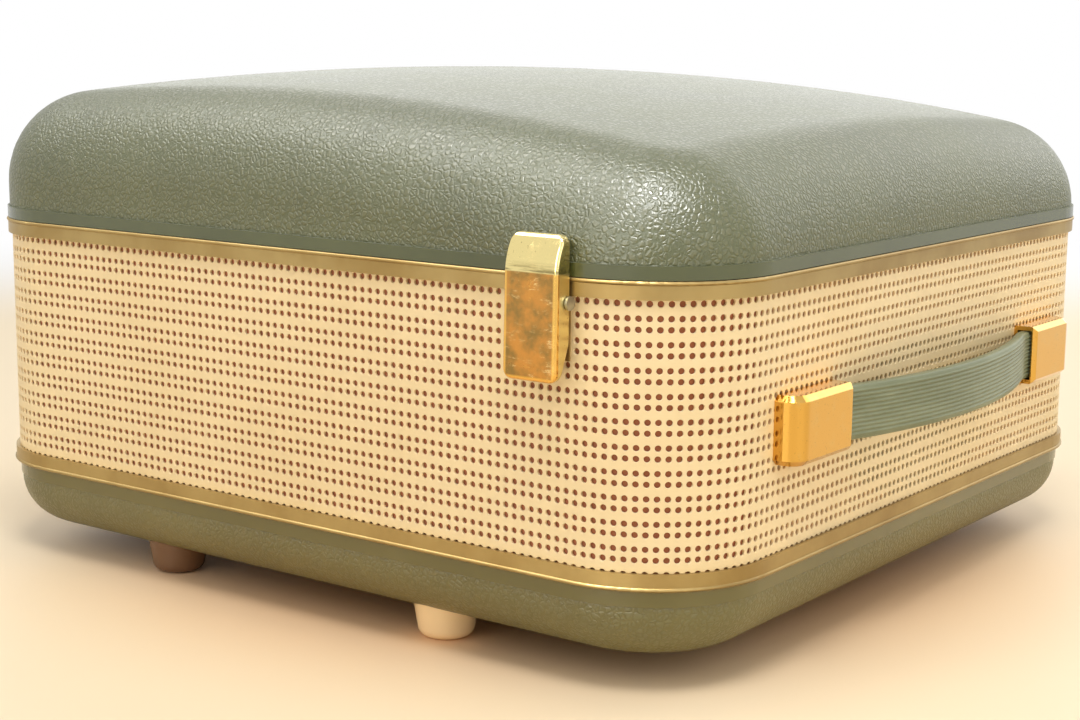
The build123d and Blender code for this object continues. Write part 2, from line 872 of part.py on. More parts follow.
# Yoke: turns on the base and carries the arm between two round-topped ears
with BuildPart() as arm_yoke:
    with BuildSketch(arm_side):
        Circle(yoke_ear_depth / 2)
        with Locations((0, (yoke_floor_z - arm_pivot_z) / 2)):
            Rectangle(yoke_ear_depth, arm_pivot_z - yoke_floor_z)
    extrude(amount=ear_inner + yoke_ear, both=True)
    ear_space = (2 * ear_inner, 2 * yoke_ear_depth)
    block(arm_place, yoke_floor_top_z, ear_space, 2 * yoke_ear_depth, mode=Mode.SUBTRACT)
    disc([arm_place], yoke_floor_z, yoke_floor, yoke_radius)
    disc([arm_place], pin_floor_z + yoke_gap, yoke_floor_z - pin_floor_z - yoke_gap, arm_pin_radius)
    pivot_bar(arm_pivot_radius + running_gap, 2 * arm_width, mode=Mode.SUBTRACT)
arm_yoke.part.label = "arm_yoke"
export_step(arm_yoke.part, "parts/arm_yoke.step")

# Arm: a moulded channel that tapers to the head, with stub pivots in the yoke's ears
head_start = arm_length + head_overhang - head_length
arm_end = (arm_place[0], arm_place[1] - head_start)


def arm_outline(z, margin):
    """The arm's tapering plan at height z, drawn in by a margin."""
    tail_y = arm_place[1] + arm_tail - margin
    neck_y = arm_end[1] + margin
    with BuildSketch(level(z)) as outline:
        with BuildLine():
            Polyline(
                (arm_place[0] - arm_width / 2 + margin, tail_y),
                (arm_place[0] - arm_neck_width / 2 + margin, neck_y),
                (arm_place[0] + arm_neck_width / 2 - margin, neck_y),
                (arm_place[0] + arm_width / 2 - margin, tail_y),
                close=True,
            )
        make_face()
    return outline.sketch


with BuildPart() as tonearm_shell:
    extrude(arm_outline(arm_low_z, 0.0), amount=arm_height)
    long_edges = tonearm_shell.faces().sort_by(Axis.Z)[-1].edges().sort_by(SortBy.LENGTH)[-2:]
    fillet(long_edges, arm_round)
    extrude(arm_outline(arm_low_z, arm_wall), amount=arm_height - arm_wall, mode=Mode.SUBTRACT)
    stub = ear_inner + yoke_ear
    pivot_bar(arm_pivot_radius, stub)
tonearm_shell.part.label = "tonearm_shell"
export_step(tonearm_shell.part, "parts/tonearm_shell.step")

# Headshell: a hollow head with a finger lift on its outer side
head_place = (arm_place[0], arm_end[1] - head_length / 2)
head_inner = (head_width - 2 * head_wall, head_length - 2 * head_wall)
with BuildPart() as headshell:
    block(head_place, head_low_z, (head_width, head_length), head_height)
    front_corners = headshell.edges().filter_by(Axis.Z).sort_by(Axis.Y)[:2]
    fillet(front_corners, head_height / 2)
    fillet(headshell.faces().sort_by(Axis.Z)[-1].edges().sort_by(Axis.Y)[:-1], arm_round)
    block(head_place, head_low_z, head_inner, head_height - head_wall, mode=Mode.SUBTRACT)
    finger_middle = (
        head_place[0] + (head_width + finger_length) / 2 - head_wall,
        head_place[1] - head_length / 4,
    )
    block(finger_middle, head_low_z, (finger_length, finger_width), finger_sheet)
headshell.part.label = "headshell"
export_step(headshell.part, "parts/headshell.step")

# Cartridge: a block under the head's roof, with its stylus at the arm's working length
stylus_place = (arm_place[0], arm_place[1] - arm_length)
with BuildPart() as cartridge:
    block(stylus_place, cartridge_low_z, (cartridge_width, cartridge_length), cartridge_height)
    turned(stylus_place, [
        (0, record_top_z),
        (stylus_radius / 4, record_top_z),
        (stylus_radius, cartridge_low_z),
        (0, cartridge_low_z),
    ])
cartridge.part.label = "cartridge"
export_step(cartridge.part, "parts/cartridge.step")

with BuildPart() as counterweight:
    tail = (arm_place[0], case_y + arm_place[1] + arm_tail, arm_pivot_z)
    with BuildSketch(Plane(tail, x_dir=(1, 0, 0), z_dir=(0, 1, 0))):
        Circle(weight_radius)
    extrude(amount=weight_length)
    fillet(counterweight.edges().filter_by(GeomType.CIRCLE), weight_radius / 6)
counterweight.part.label = "counterweight"
export_step(counterweight.part, "parts/counterweight.step")

# Arm rest: a post under the arm, with a lip on the side away from the platter
rest_place = (arm_place[0], arm_place[1] - rest_distance)
rest_top_z = arm_low_z - rest_gap
lip_place = (rest_place[0] + (rest_width - rest_lip_width) / 2, rest_place[1])
with BuildPart() as arm_rest:
    disc([rest_place], deck_top_z, rest_foot, rest_foot_radius)
    disc([rest_place], deck_top_z, rest_top_z - deck_top_z - rest_height, rest_post_radius)
    block(rest_place, rest_top_z - rest_height, (rest_width, rest_depth), rest_height)
    block(lip_place, rest_top_z, (rest_lip_width, rest_depth), rest_lip)
arm_rest.part.label = "arm_rest"
export_step(arm_rest.part, "parts/arm_rest.step")

# Controls under the board, each with a bush for a knob's stem
stem_bore = stem_radius + running_gap
with BuildPart() as potentiometers:
    control_places = [volume_place, tone_place]
    disc(control_places, board_low_z - control_height, control_height, control_radius)
    disc(control_places, board_low_z, board_thickness, control_bush_radius)
    stem_low_z = board_top_z + knob_gap - stem_length
    disc(control_places, stem_low_z - knob_gap, stem_length, stem_bore, mode=Mode.SUBTRACT)
potentiometers.part.label = "potentiometers"
export_step(potentiometers.part, "parts/potentiometers.step")

# Knobs: skirted and fluted, dished on top, each on its own stem
for name, place in (("volume_knob", volume_place), ("tone_knob", tone_place)):
    knob_low_z = board_top_z + knob_gap
    knob_top_z = knob_low_z + knob_height
    with BuildPart() as knob:
        turned(place, [
            (0, stem_low_z),
            (stem_radius, stem_low_z),
            (stem_radius, knob_low_z),
            (knob_radius, knob_low_z),
            (knob_radius, knob_low_z + knob_skirt),
            (knob_top_radius, knob_low_z + knob_skirt),
            (knob_top_radius, knob_top_z),
            (knob_top_radius - knob_dish, knob_top_z),
            (knob_top_radius - 2 * knob_dish, knob_top_z - knob_dish),
            (0, knob_top_z - knob_dish),
        ])
        flute_places = [polar(place, knob_top_radius, 360 * n / knob_flutes) for n in range(knob_flutes)]
        disc(flute_places, knob_low_z + knob_skirt, knob_height, flute_radius, mode=Mode.SUBTRACT)
    knob.part.label = name
    export_step(knob.part, f"parts/{name}.step")

# Speed lever: a short arm on a pin through the deck, with a finger tip
lever_low_z = deck_top_z + lever_lift
lever_tip = (lever_place[0], lever_place[1] - lever_length)
with BuildPart() as speed_lever:
    with BuildSketch(level(lever_low_z)):
        with Locations(Location((lever_place[0], lever_place[1] - lever_length / 2), 90)):
            SlotCenterToCenter(lever_length, lever_width)
        with Locations(lever_place):
            Circle(lever_boss_radius)
    extrude(amount=lever_sheet)
    disc([lever_tip], lever_low_z, lever_tip_height, lever_tip_radius)
    disc([lever_place], board_low_z, lever_low_z - board_low_z, lever_pin_radius)
speed_lever.part.label = "speed_lever"
export_step(speed_lever.part, "parts/speed_lever.step")

# Amplifier: a folded chassis on the base, with transformers and valves on top
chassis_top_z = base_floor_z + chassis_height
with BuildPart() as amplifier_chassis:
    block(chassis_place, base_floor_z, (chassis_width, chassis_depth), chassis_height)
    chassis_inner = (chassis_width - 2 * chassis_sheet, chassis_depth - 2 * chassis_sheet)
    block(chassis_place, base_floor_z, chassis_inner, chassis_height - chassis_sheet, mode=Mode.SUBTRACT)
amplifier_chassis.part.label = "amplifier_chassis"
export_step(amplifier_chassis.part, "parts/amplifier_chassis.step")

for name, place, size, height in (
    ("mains_transformer", mains_core_place, mains_core_size, mains_core_height),
    ("output_transformer", output_core_place, output_core_size, output_core_height),
):
    with BuildPart() as transformer:
        block(place, chassis_top_z, size, height)
        winding = (size[0] - 2 * core_bobbin, size[1] + 2 * core_bobbin)
        winding_height = height * (1 - core_window)
        winding_z = chassis_top_z + (height - winding_height) / 2
        block(place, winding_z, winding, winding_height, core_bobbin)
    transformer.part.label = name
    export_step(transformer.part, f"parts/{name}.step")

with BuildPart() as valve_bases:
    disc(valve_places, chassis_top_z, valve_base, valve_base_radius)
valve_bases.part.label = "valve_bases"
export_step(valve_bases.part, "parts/valve_bases.step")

with BuildPart() as valves:
    disc(valve_places, chassis_top_z + valve_base, valve_height, valve_radius)
    fillet(valves.edges().group_by(Axis.Z)[-1], valve_radius * 2 / 3)
valves.part.label = "valves"
export_step(valves.part, "parts/valves.step")


# Loudspeaker: an elliptical basket behind the front wall, with its cone and magnet
def funnel(depth, half_width, half_height, neck, length, mode=Mode.ADD):
    """Add or cut a body that runs from an ellipse to a round neck, into the case."""
    with BuildSketch(inward(frame_inner + depth, 0, speaker_z)) as mouth:
        Ellipse(half_width, half_height)
    with BuildSketch(inward(frame_inner + depth + length, 0, speaker_z)) as throat:
        Circle(neck)
    loft([mouth.sketch.face(), throat.sketch.face()], mode=mode)


with BuildPart() as speaker_basket:
    with BuildSketch(inward(frame_inner, 0, speaker_z)):
        Ellipse(speaker_half_width + speaker_flange, speaker_half_height + speaker_flange)
    extrude(amount=speaker_flange_sheet)
    funnel(0, speaker_half_width, speaker_half_height, speaker_neck, speaker_depth)
    funnel(
        0,
        speaker_half_width - speaker_sheet,
        speaker_half_height - speaker_sheet,
        speaker_neck - speaker_sheet,
        speaker_depth,
        mode=Mode.SUBTRACT,
    )
speaker_basket.part.label = "speaker_basket"
export_step(speaker_basket.part, "parts/speaker_basket.step")

with BuildPart() as speaker_cone:
    cone_half_width = speaker_half_width - speaker_sheet - cone_fit
    cone_half_height = speaker_half_height - speaker_sheet - cone_fit
    funnel(0, cone_half_width, cone_half_height, cone_neck, cone_depth)
    funnel(
        0,
        cone_half_width - cone_sheet,
        cone_half_height - cone_sheet,
        cone_neck - cone_sheet,
        cone_depth - cone_sheet,
        mode=Mode.SUBTRACT,
    )
speaker_cone.part.label = "speaker_cone"
export_step(speaker_cone.part, "parts/speaker_cone.step")

with BuildPart() as speaker_magnet:
    with BuildSketch(inward(frame_inner + speaker_depth, 0, speaker_z)):
        Circle(magnet_radius)
    extrude(amount=magnet_height)
speaker_magnet.part.label = "speaker_magnet"
export_step(speaker_magnet.part, "parts/speaker_magnet.step")

# Mains gland: a flanged bush through the back wall
with BuildPart() as mains_gland:
    gland_length = frame_inner + gland_flange
    gland_bar(frame_inner, gland_length, gland_radius)
    gland_bar(0, gland_flange, gland_flange_radius)
    gland_bar(frame_inner, gland_length, gland_bore, mode=Mode.SUBTRACT)
mains_gland.part.label = "mains_gland"
export_step(mains_gland.part, "parts/mains_gland.step")

# Handle: two brass caps on the front, and a ribbed strap that bows out between them
for name, sign in (("left_handle_cap", -1), ("right_handle_cap", 1)):
    wall_y = -case_depth / 2
    cap_middle = (sign * cap_place, wall_y - cap_depth / 2)
    with BuildPart() as handle_cap:
        block(cap_middle, handle_z - cap_height / 2, (cap_length, cap_depth), cap_height)
        outer_corner = handle_cap.edges().filter_by(Axis.Z).sort_by(Axis.Y)[:2].sort_by(Axis.X)
        fillet(outer_corner[0 if sign < 0 else -1], cap_round)
        flats = handle_cap.faces().filter_by(Axis.Z)
        rims = [
            edge
            for edge in flats.edges()
            if edge.center().Y < front_y - cap_bevel and sign * edge.center().X > cap_mouth + cap_bevel
        ]
        chamfer(rims, cap_bevel)
        mouth = handle_cap.edges().filter_by(Axis.Z).sort_by(Axis.Y)[:2].sort_by(Axis.X)
        chamfer(mouth[-1 if sign < 0 else 0], cap_mouth_bevel)
        slot_middle = (sign * (cap_mouth + cap_slot_depth / 2), wall_y - strap_seat)
        slot_size = (cap_slot_depth, strap_thickness + 4 * strap_slack)
        slot_height = strap_width + 2 * strap_slack
        block(slot_middle, handle_z - slot_height / 2, slot_size, slot_height, mode=Mode.SUBTRACT)
        front_bars(-handle_screw_bite, handle_screw_bite, screw_radius + screw_slack, mode=Mode.SUBTRACT)
    handle_cap.part.label = name
    export_step(handle_cap.part, f"parts/{name}.step")

with BuildPart() as handle_screws:
    front_bars(-handle_screw_bite + strap_slack, handle_screw_bite - strap_slack + frame_inner, screw_radius)
    front_bars(frame_inner, screw_head_height, screw_head_radius)
handle_screws.part.label = "handle_screws"
export_step(handle_screws.part, "parts/handle_screws.step")

# The strap lies flat in each cap, turns out at the cap's mouth and bows over the hand's gap
bow_rise = strap_reach - strap_thickness / 2 - strap_seat
bow_turn = 2 * atan2(bow_rise, cap_mouth)
bow_radius = cap_mouth / sin(bow_turn) - strap_bend
strap_end = cap_mouth + cap_slot_depth - strap_slack
strap_y = front_y - strap_seat
with BuildPart() as handle_strap:
    with BuildLine(Plane((0, 0, handle_z))) as strap_path:
        entry = Line((-strap_end, strap_y), (-cap_mouth, strap_y))
        bend = JernArc(entry @ 1, entry % 1, strap_bend, -degrees(bow_turn))
        bow = JernArc(bend @ 1, bend % 1, bow_radius, 2 * degrees(bow_turn))
        unbend = JernArc(bow @ 1, bow % 1, strap_bend, -degrees(bow_turn))
        Line(unbend @ 1, (strap_end, strap_y))
    rib_pitch = strap_width / strap_ribs
    outer_face = strap_thickness / 2
    ribs = []
    for rib in range(strap_ribs):
        rib_foot = -strap_width / 2 + rib * rib_pitch
        ribs.append((outer_face - strap_groove, rib_foot))
        ribs.append((outer_face, rib_foot + rib_pitch / 2))
    ribs.append((outer_face - strap_groove, strap_width / 2))
    section_origin = (-strap_end, strap_y, handle_z)
    with BuildSketch(Plane(section_origin, x_dir=(0, -1, 0), z_dir=(1, 0, 0))):
        with BuildLine():
            Polyline(
                (-outer_face, -strap_width / 2 + strap_groove),
                (-outer_face + strap_groove, -strap_width / 2),
                *ribs,
                (-outer_face + strap_groove, strap_width / 2),
                (-outer_face, strap_width / 2 - strap_groove),
                close=True,
            )
        make_face()
    sweep(path=strap_path.wires()[0])
handle_strap.part.label = "handle_strap"
export_step(handle_strap.part, "parts/handle_strap.step")

# Latches: folded brass rockers on a bracket; the nose stands over the catch on the lid's rim
cheek = latch_width / 2
cheek_inner = cheek - latch_sheet
ear_outer = cheek_inner - latch_side_gap
nose_low_z = lid_rim_z + catch_gap
nose_tip = trim_proud + catch_sheet + catch_gap
nose_root = latch_face_reach - latch_sheet
latch_pivot = (latch_pivot_reach, latch_pivot_z)
pin_reach = cheek + catch_gap
latch_rounds = [
    latch_back_round,
    latch_crown_round,
    latch_face_round,
    latch_tip_round,
    latch_lip_round,
    latch_relief_round,
]


def latch_front(sign):
    """The upright plane of a side wall at its latch, facing out of the case."""
    origin = (sign * case_width / 2, case_y + latch_y, (latch_top_z + latch_foot_z) / 2)
    return Plane(origin, x_dir=(0, 1, 0), z_dir=(sign, 0, 0))


for name, sign in (("left", -1), ("right", 1)):
    wall = side(sign, latch_y)
    with BuildPart() as latch:
        with BuildSketch(wall):
            with BuildLine():
                FilletPolyline(
                    (latch_rear, latch_top_z),
                    (latch_crown_reach, latch_top_z),
                    (latch_face_reach, latch_top_z - latch_face_drop),
                    (latch_foot_reach, latch_foot_z),
                    (latch_lip, latch_foot_z),
                    (latch_rear, latch_foot_z + latch_relief),
                    radius=latch_rounds,
                    close=True,
                )
            make_face()
        extrude(amount=cheek, both=True)
        with BuildSketch(latch_front(sign)):
            RectangleRounded(latch_width, latch_height, latch_corner)
        extrude(amount=2 * latch_foot_reach, mode=Mode.INTERSECT)
        face_rim = [
            edge
            for edge in latch.edges()
            if abs(edge.center().Y - wall.origin.Y) > cheek - latch_corner
            and abs(edge.center().X - wall.origin.X) > latch_crown_reach - latch_edge
        ]
        fillet(face_rim, latch_edge)
        with BuildSketch(wall):
            with BuildLine():
                Polyline(
                    (0, latch_top_z - 2 * latch_sheet),
                    (latch_crown_reach - latch_sheet, latch_top_z - 2 * latch_sheet),
                    (latch_face_reach - latch_sheet, latch_top_z - latch_face_drop - latch_sheet),
                    (latch_foot_reach - latch_sheet, latch_foot_z + 2 * latch_sheet),
                    (0, latch_foot_z + 2 * latch_sheet),
                    close=True,
                )
            make_face()
        extrude(amount=cheek_inner, both=True, mode=Mode.SUBTRACT)
        with BuildSketch(wall):
            with Locations(((nose_tip + nose_root) / 2, nose_low_z + nose_height / 2)):
                Rectangle(nose_root - nose_tip, nose_height)
        extrude(amount=nose_width / 2, both=True)
        with BuildSketch(wall):
            with Locations(latch_pivot):
                Circle(latch_pin_radius + running_gap)
        extrude(amount=latch_width, both=True, mode=Mode.SUBTRACT)
    latch.part.label = f"{name}_latch"
    export_step(latch.part, f"parts/{name}_latch.step")

    with BuildPart() as latch_bracket:
        plate_top_z = upper_trim_z - catch_gap
        with BuildSketch(wall):
            with Locations((latch_plate / 2, plate_top_z - latch_plate_height / 2)):
                Rectangle(latch_plate, latch_plate_height)
        extrude(amount=ear_outer, both=True)
        with BuildSketch(wall):
            with Locations(latch_pivot):
                Circle(latch_ear_radius)
            with Locations((latch_pivot_reach / 2, latch_pivot_z - latch_ear_radius)):
                Rectangle(latch_pivot_reach, 2 * latch_ear_radius)
        extrude(amount=ear_outer, both=True)
        with BuildSketch(wall):
            with Locations((latch_plate + latch_width / 2, latch_pivot_z)):
                Rectangle(latch_width, 2 * latch_width)
        extrude(amount=ear_outer - latch_ear, both=True, mode=Mode.SUBTRACT)
        with BuildSketch(wall):
            with Locations((-latch_plate, latch_pivot_z + latch_plate_height / 2)):
                Rectangle(2 * latch_plate, 2 * latch_plate_height)
        extrude(amount=latch_width, both=True, mode=Mode.SUBTRACT)
        with BuildSketch(wall):
            with Locations(latch_pivot):
                Circle(latch_pin_radius + running_gap)
        extrude(amount=latch_width, both=True, mode=Mode.SUBTRACT)
    latch_bracket.part.label = f"{name}_latch_bracket"
    export_step(latch_bracket.part, f"parts/{name}_latch_bracket.step")

# Latch pins: riveted over outside the cheeks
with BuildPart() as latch_pins:
    for sign in (-1, 1):
        with BuildSketch(side(sign, latch_y)):
            with Locations(latch_pivot):
                Circle(latch_pin_radius)
        extrude(amount=pin_reach + rivet_height, both=True)
        for end in (-1, 1):
            head_y = latch_y + end * (pin_reach + rivet_height / 2)
            with BuildSketch(side(sign, head_y)):
                with Locations(latch_pivot):
                    Circle(rivet_radius)
            extrude(amount=rivet_height / 2, both=True)
latch_pins.part.label = "latch_pins"
export_step(latch_pins.part, "parts/latch_pins.step")

with BuildPart() as lid_catches:
    catch_low_z = lid_low_z + catch_gap
    catch_height = lid_rim_z - catch_low_z
    for sign in (-1, 1):
        with BuildSketch(side(sign, latch_y)):
            with Locations((trim_proud + catch_sheet / 2, catch_low_z + catch_height / 2)):
                Rectangle(catch_sheet, catch_height)
        extrude(amount=catch_width / 2, both=True)
lid_catches.part.label = "lid_catches"
export_step(lid_catches.part, "parts/lid_catches.step")


# Lid: a moulded shell with a crowned top, rounded over into its walls, and a smooth rim
def dome(inset, depth):
    """The lid's form drawn in by an inset at its walls and a depth at its top."""
    cross = lid_cross_radius - depth
    crown = lid_crown_radius - depth
    axis_z = lid_crown_z - lid_cross_radius
    reach = case_depth
    swing = atan(case_width / cross)
    crown_edge = [cross - crown + sqrt(crown**2 - (end - lid_crown_back) ** 2) for end in (-reach, reach)]
    floor = lid_low_z - axis_z - lid_edge
    start = Plane((0, case_y, axis_z), x_dir=(0, 1, 0), z_dir=(cos(swing), 0, sin(swing)))
    with BuildPart() as form:
        with BuildSketch(level(lid_low_z)) as outline:
            RectangleRounded(*plan(inset))
        extrude(outline.sketch, amount=lid_crown_z)
        with BuildSketch(start) as slice_under_crown:
            with BuildLine():
                Polyline((-reach, crown_edge[0]), (-reach, floor), (reach, floor), (reach, crown_edge[1]))
                ThreePointArc((reach, crown_edge[1]), (lid_crown_back, cross), (-reach, crown_edge[0]))
            make_face()
        revolve(
            slice_under_crown.sketch,
            axis=Axis((0, case_y, axis_z), (0, 1, 0)),
            revolution_arc=2 * degrees(swing),
            mode=Mode.INTERSECT,
        )
        fillet(form.faces().sort_by(Axis.Z)[-1].edges(), lid_edge - depth)
    return form.part


lid_wall_inset = lid_step - trim_proud
with BuildPart() as lid_shell:
    add(dome(lid_wall_inset, 0.0))
    with BuildSketch(level(lid_low_z)):
        RectangleRounded(*plan(-trim_proud))
    extrude(amount=lid_rim_height - lid_gap)
    add(dome(lid_wall_inset + lid_wall, lid_wall), mode=Mode.SUBTRACT)
lid_shell.part.label = "lid_shell"
export_step(lid_shell.part, "parts/lid_shell.step")

# Hinges: narrow brass leaves on the upper trim and on the lid's rim, with knuckles outside
hinge_axis_z = case_top_z - hinge_drop
leaf_low_z = upper_trim_z + hinge_leaf_margin
leaf_high_z = lid_rim_z - hinge_leaf_margin
leaf_reach = trim_proud + hinge_leaf
end_knuckle = (hinge_length - hinge_middle) / 2 - knuckle_gap
end_knuckle_place = (hinge_length - end_knuckle) / 2
knuckle_clear = knuckle_radius + knuckle_gap


def hinge_bar(x, length, radius, mode=Mode.ADD):
    """Add or cut a round bar along the hinge line."""
    plane = Plane((x, back_y + hinge_axis_reach, hinge_axis_z), x_dir=(0, 1, 0), z_dir=(1, 0, 0))
    with BuildSketch(plane) as outline:
        Circle(radius)
    extrude(outline.sketch, amount=length / 2, both=True, mode=mode)


def hinge_leaf_plate(x, length, low_z, high_z, start=trim_proud):
    """Add a flat plate behind the case, from a start to the leaf's outer face."""
    middle = (x, case_depth / 2 + (start + leaf_reach) / 2)
    block(middle, low_z, (length, leaf_reach - start), high_z - low_z)


with BuildPart() as hinge_lower_leaves:
    for x in (-hinge_place, hinge_place):
        hinge_leaf_plate(x, hinge_length, leaf_low_z, hinge_axis_z - knuckle_clear)
        for end in (-1, 1):
            knuckle_x = x + end * end_knuckle_place
            hinge_leaf_plate(knuckle_x, end_knuckle, leaf_low_z, hinge_axis_z)
            hinge_bar(knuckle_x, end_knuckle, knuckle_radius)
        hinge_bar(x, hinge_length, hinge_pin_radius + running_gap, mode=Mode.SUBTRACT)
hinge_lower_leaves.part.label = "hinge_lower_leaves"
export_step(hinge_lower_leaves.part, "parts/hinge_lower_leaves.step")

with BuildPart() as hinge_upper_leaves:
    for x in (-hinge_place, hinge_place):
        hinge_leaf_plate(x, hinge_length, hinge_axis_z + knuckle_clear, leaf_high_z)
        middle_start = trim_proud + knuckle_gap
        hinge_leaf_plate(x, hinge_middle, hinge_axis_z, leaf_high_z, start=middle_start)
        hinge_bar(x, hinge_middle, knuckle_radius)
        hinge_bar(x, hinge_length, hinge_pin_radius + running_gap, mode=Mode.SUBTRACT)
hinge_upper_leaves.part.label = "hinge_upper_leaves"
export_step(hinge_upper_leaves.part, "parts/hinge_upper_leaves.step")

with BuildPart() as hinge_pins:
    for x in (-hinge_place, hinge_place):
        hinge_bar(x, hinge_length, hinge_pin_radius)
hinge_pins.part.label = "hinge_pins"
export_step(hinge_pins.part, "parts/hinge_pins.step")
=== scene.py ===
"""Looks of a portable record player in a hinged carrying case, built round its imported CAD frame.

Metres, +Z up, the handle on the -Y side. The CAD solids keep their places and get their finishes here.
The perforated band and the strap are modelled afresh, in the places of their solids.
"""

import json
import math

import bmesh
import bpy
import numpy as np
from mathutils import Matrix, Vector


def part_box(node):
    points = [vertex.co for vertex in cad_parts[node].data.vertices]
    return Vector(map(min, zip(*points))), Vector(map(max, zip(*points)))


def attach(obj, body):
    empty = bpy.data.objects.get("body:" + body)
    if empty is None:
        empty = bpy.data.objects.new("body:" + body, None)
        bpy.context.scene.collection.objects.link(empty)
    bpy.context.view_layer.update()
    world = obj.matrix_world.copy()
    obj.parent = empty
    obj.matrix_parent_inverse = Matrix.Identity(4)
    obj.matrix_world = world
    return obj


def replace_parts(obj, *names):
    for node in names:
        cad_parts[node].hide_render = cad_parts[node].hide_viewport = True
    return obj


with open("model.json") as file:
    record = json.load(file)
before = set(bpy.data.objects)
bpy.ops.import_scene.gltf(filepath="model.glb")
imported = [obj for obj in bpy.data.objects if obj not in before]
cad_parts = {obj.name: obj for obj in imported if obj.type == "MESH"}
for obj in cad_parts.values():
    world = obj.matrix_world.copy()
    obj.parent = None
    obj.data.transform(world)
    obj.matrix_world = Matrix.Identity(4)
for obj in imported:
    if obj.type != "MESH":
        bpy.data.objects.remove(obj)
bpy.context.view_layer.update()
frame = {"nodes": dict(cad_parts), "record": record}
nodes = frame["nodes"]
scene = bpy.context.scene
MM = 0.001
UP = Vector((0, 0, 1))
WHITE = (1, 1, 1, 1)

# Places and sizes that the finishes and the new pieces share with the CAD frame
band_low, band_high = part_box("perforated_band")
lid_foot_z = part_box("lid_shell")[0].z
base_top_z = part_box("base_tray")[1].z
strap_low, strap_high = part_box("handle_strap")
latch_low, latch_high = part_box("left_latch")
spindle_low, spindle_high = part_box("spindle")
case_middle = (band_low + band_high) / 2
case_corner = 50 * MM
lid_rim_height = 5.2 * MM
base_rim_height = 6.4 * MM
merge_distance = 0.01 * MM


# Shader tools
class Value:
    """A shader socket that takes part in Python arithmetic by adding Math nodes."""

    def __init__(self, owner, socket):
        self.owner = owner
        self.socket = socket

    def maths(self, operation, *operands):
        return self.owner.node("ShaderNodeMath", {"operation": operation}, operands)

    def __add__(self, other):
        return self.maths("ADD", self, other)

    def __radd__(self, other):
        return self.maths("ADD", other, self)

    def __sub__(self, other):
        return self.maths("SUBTRACT", self, other)

    def __rsub__(self, other):
        return self.maths("SUBTRACT", other, self)

    def __mul__(self, other):
        return self.maths("MULTIPLY", self, other)

    def __rmul__(self, other):
        return self.maths("MULTIPLY", other, self)

    def __gt__(self, other):
        return self.maths("GREATER_THAN", self, other)

    def __lt__(self, other):
        return self.maths("LESS_THAN", self, other)

    def absolute(self):
        return self.maths("ABSOLUTE", self)

    def larger(self, other):
        return self.maths("MAXIMUM", self, other)

    def root(self):
        return self.maths("POWER", self, 0.5)

    def ramp(self, low, high):
        """0 at low, 1 at high, smooth between."""
        sockets = {"Value": self, "From Min": low, "From Max": high}
        return self.owner.node("ShaderNodeMapRange", {"interpolation_type": "SMOOTHSTEP"}, sockets)


class Nodes:
    """The node tree of a material or of the world."""

    def __init__(self, tree):
        self.tree = tree

    def fill(self, sockets, values):
        """Give sockets their values or links, by name or in their order."""
        pairs = values.items() if isinstance(values, dict) else enumerate(values)
        for key, value in pairs:
            if isinstance(value, Value):
                self.tree.links.new(value.socket, sockets[key])
            else:
                sockets[key].default_value = value

    def node(self, kind, settings=None, sockets=(), output=0):
        """Add a node: its settings first, then the values or links of its sockets."""
        made = self.tree.nodes.new(kind)
        for key, value in (settings or {}).items():
            setattr(made, key, value)
        self.fill(made.inputs, sockets)
        return Value(self, made.outputs[output])

    def seen(self):
        """1 on the rays that show a background: to the camera, off a mirror or through glass."""
        kinds = ("Is Camera Ray", "Is Glossy Ray", "Is Transmission Ray")
        camera, glossy, through = [self.node("ShaderNodeLightPath", output=kind) for kind in kinds]
        return camera.larger(glossy.larger(through))


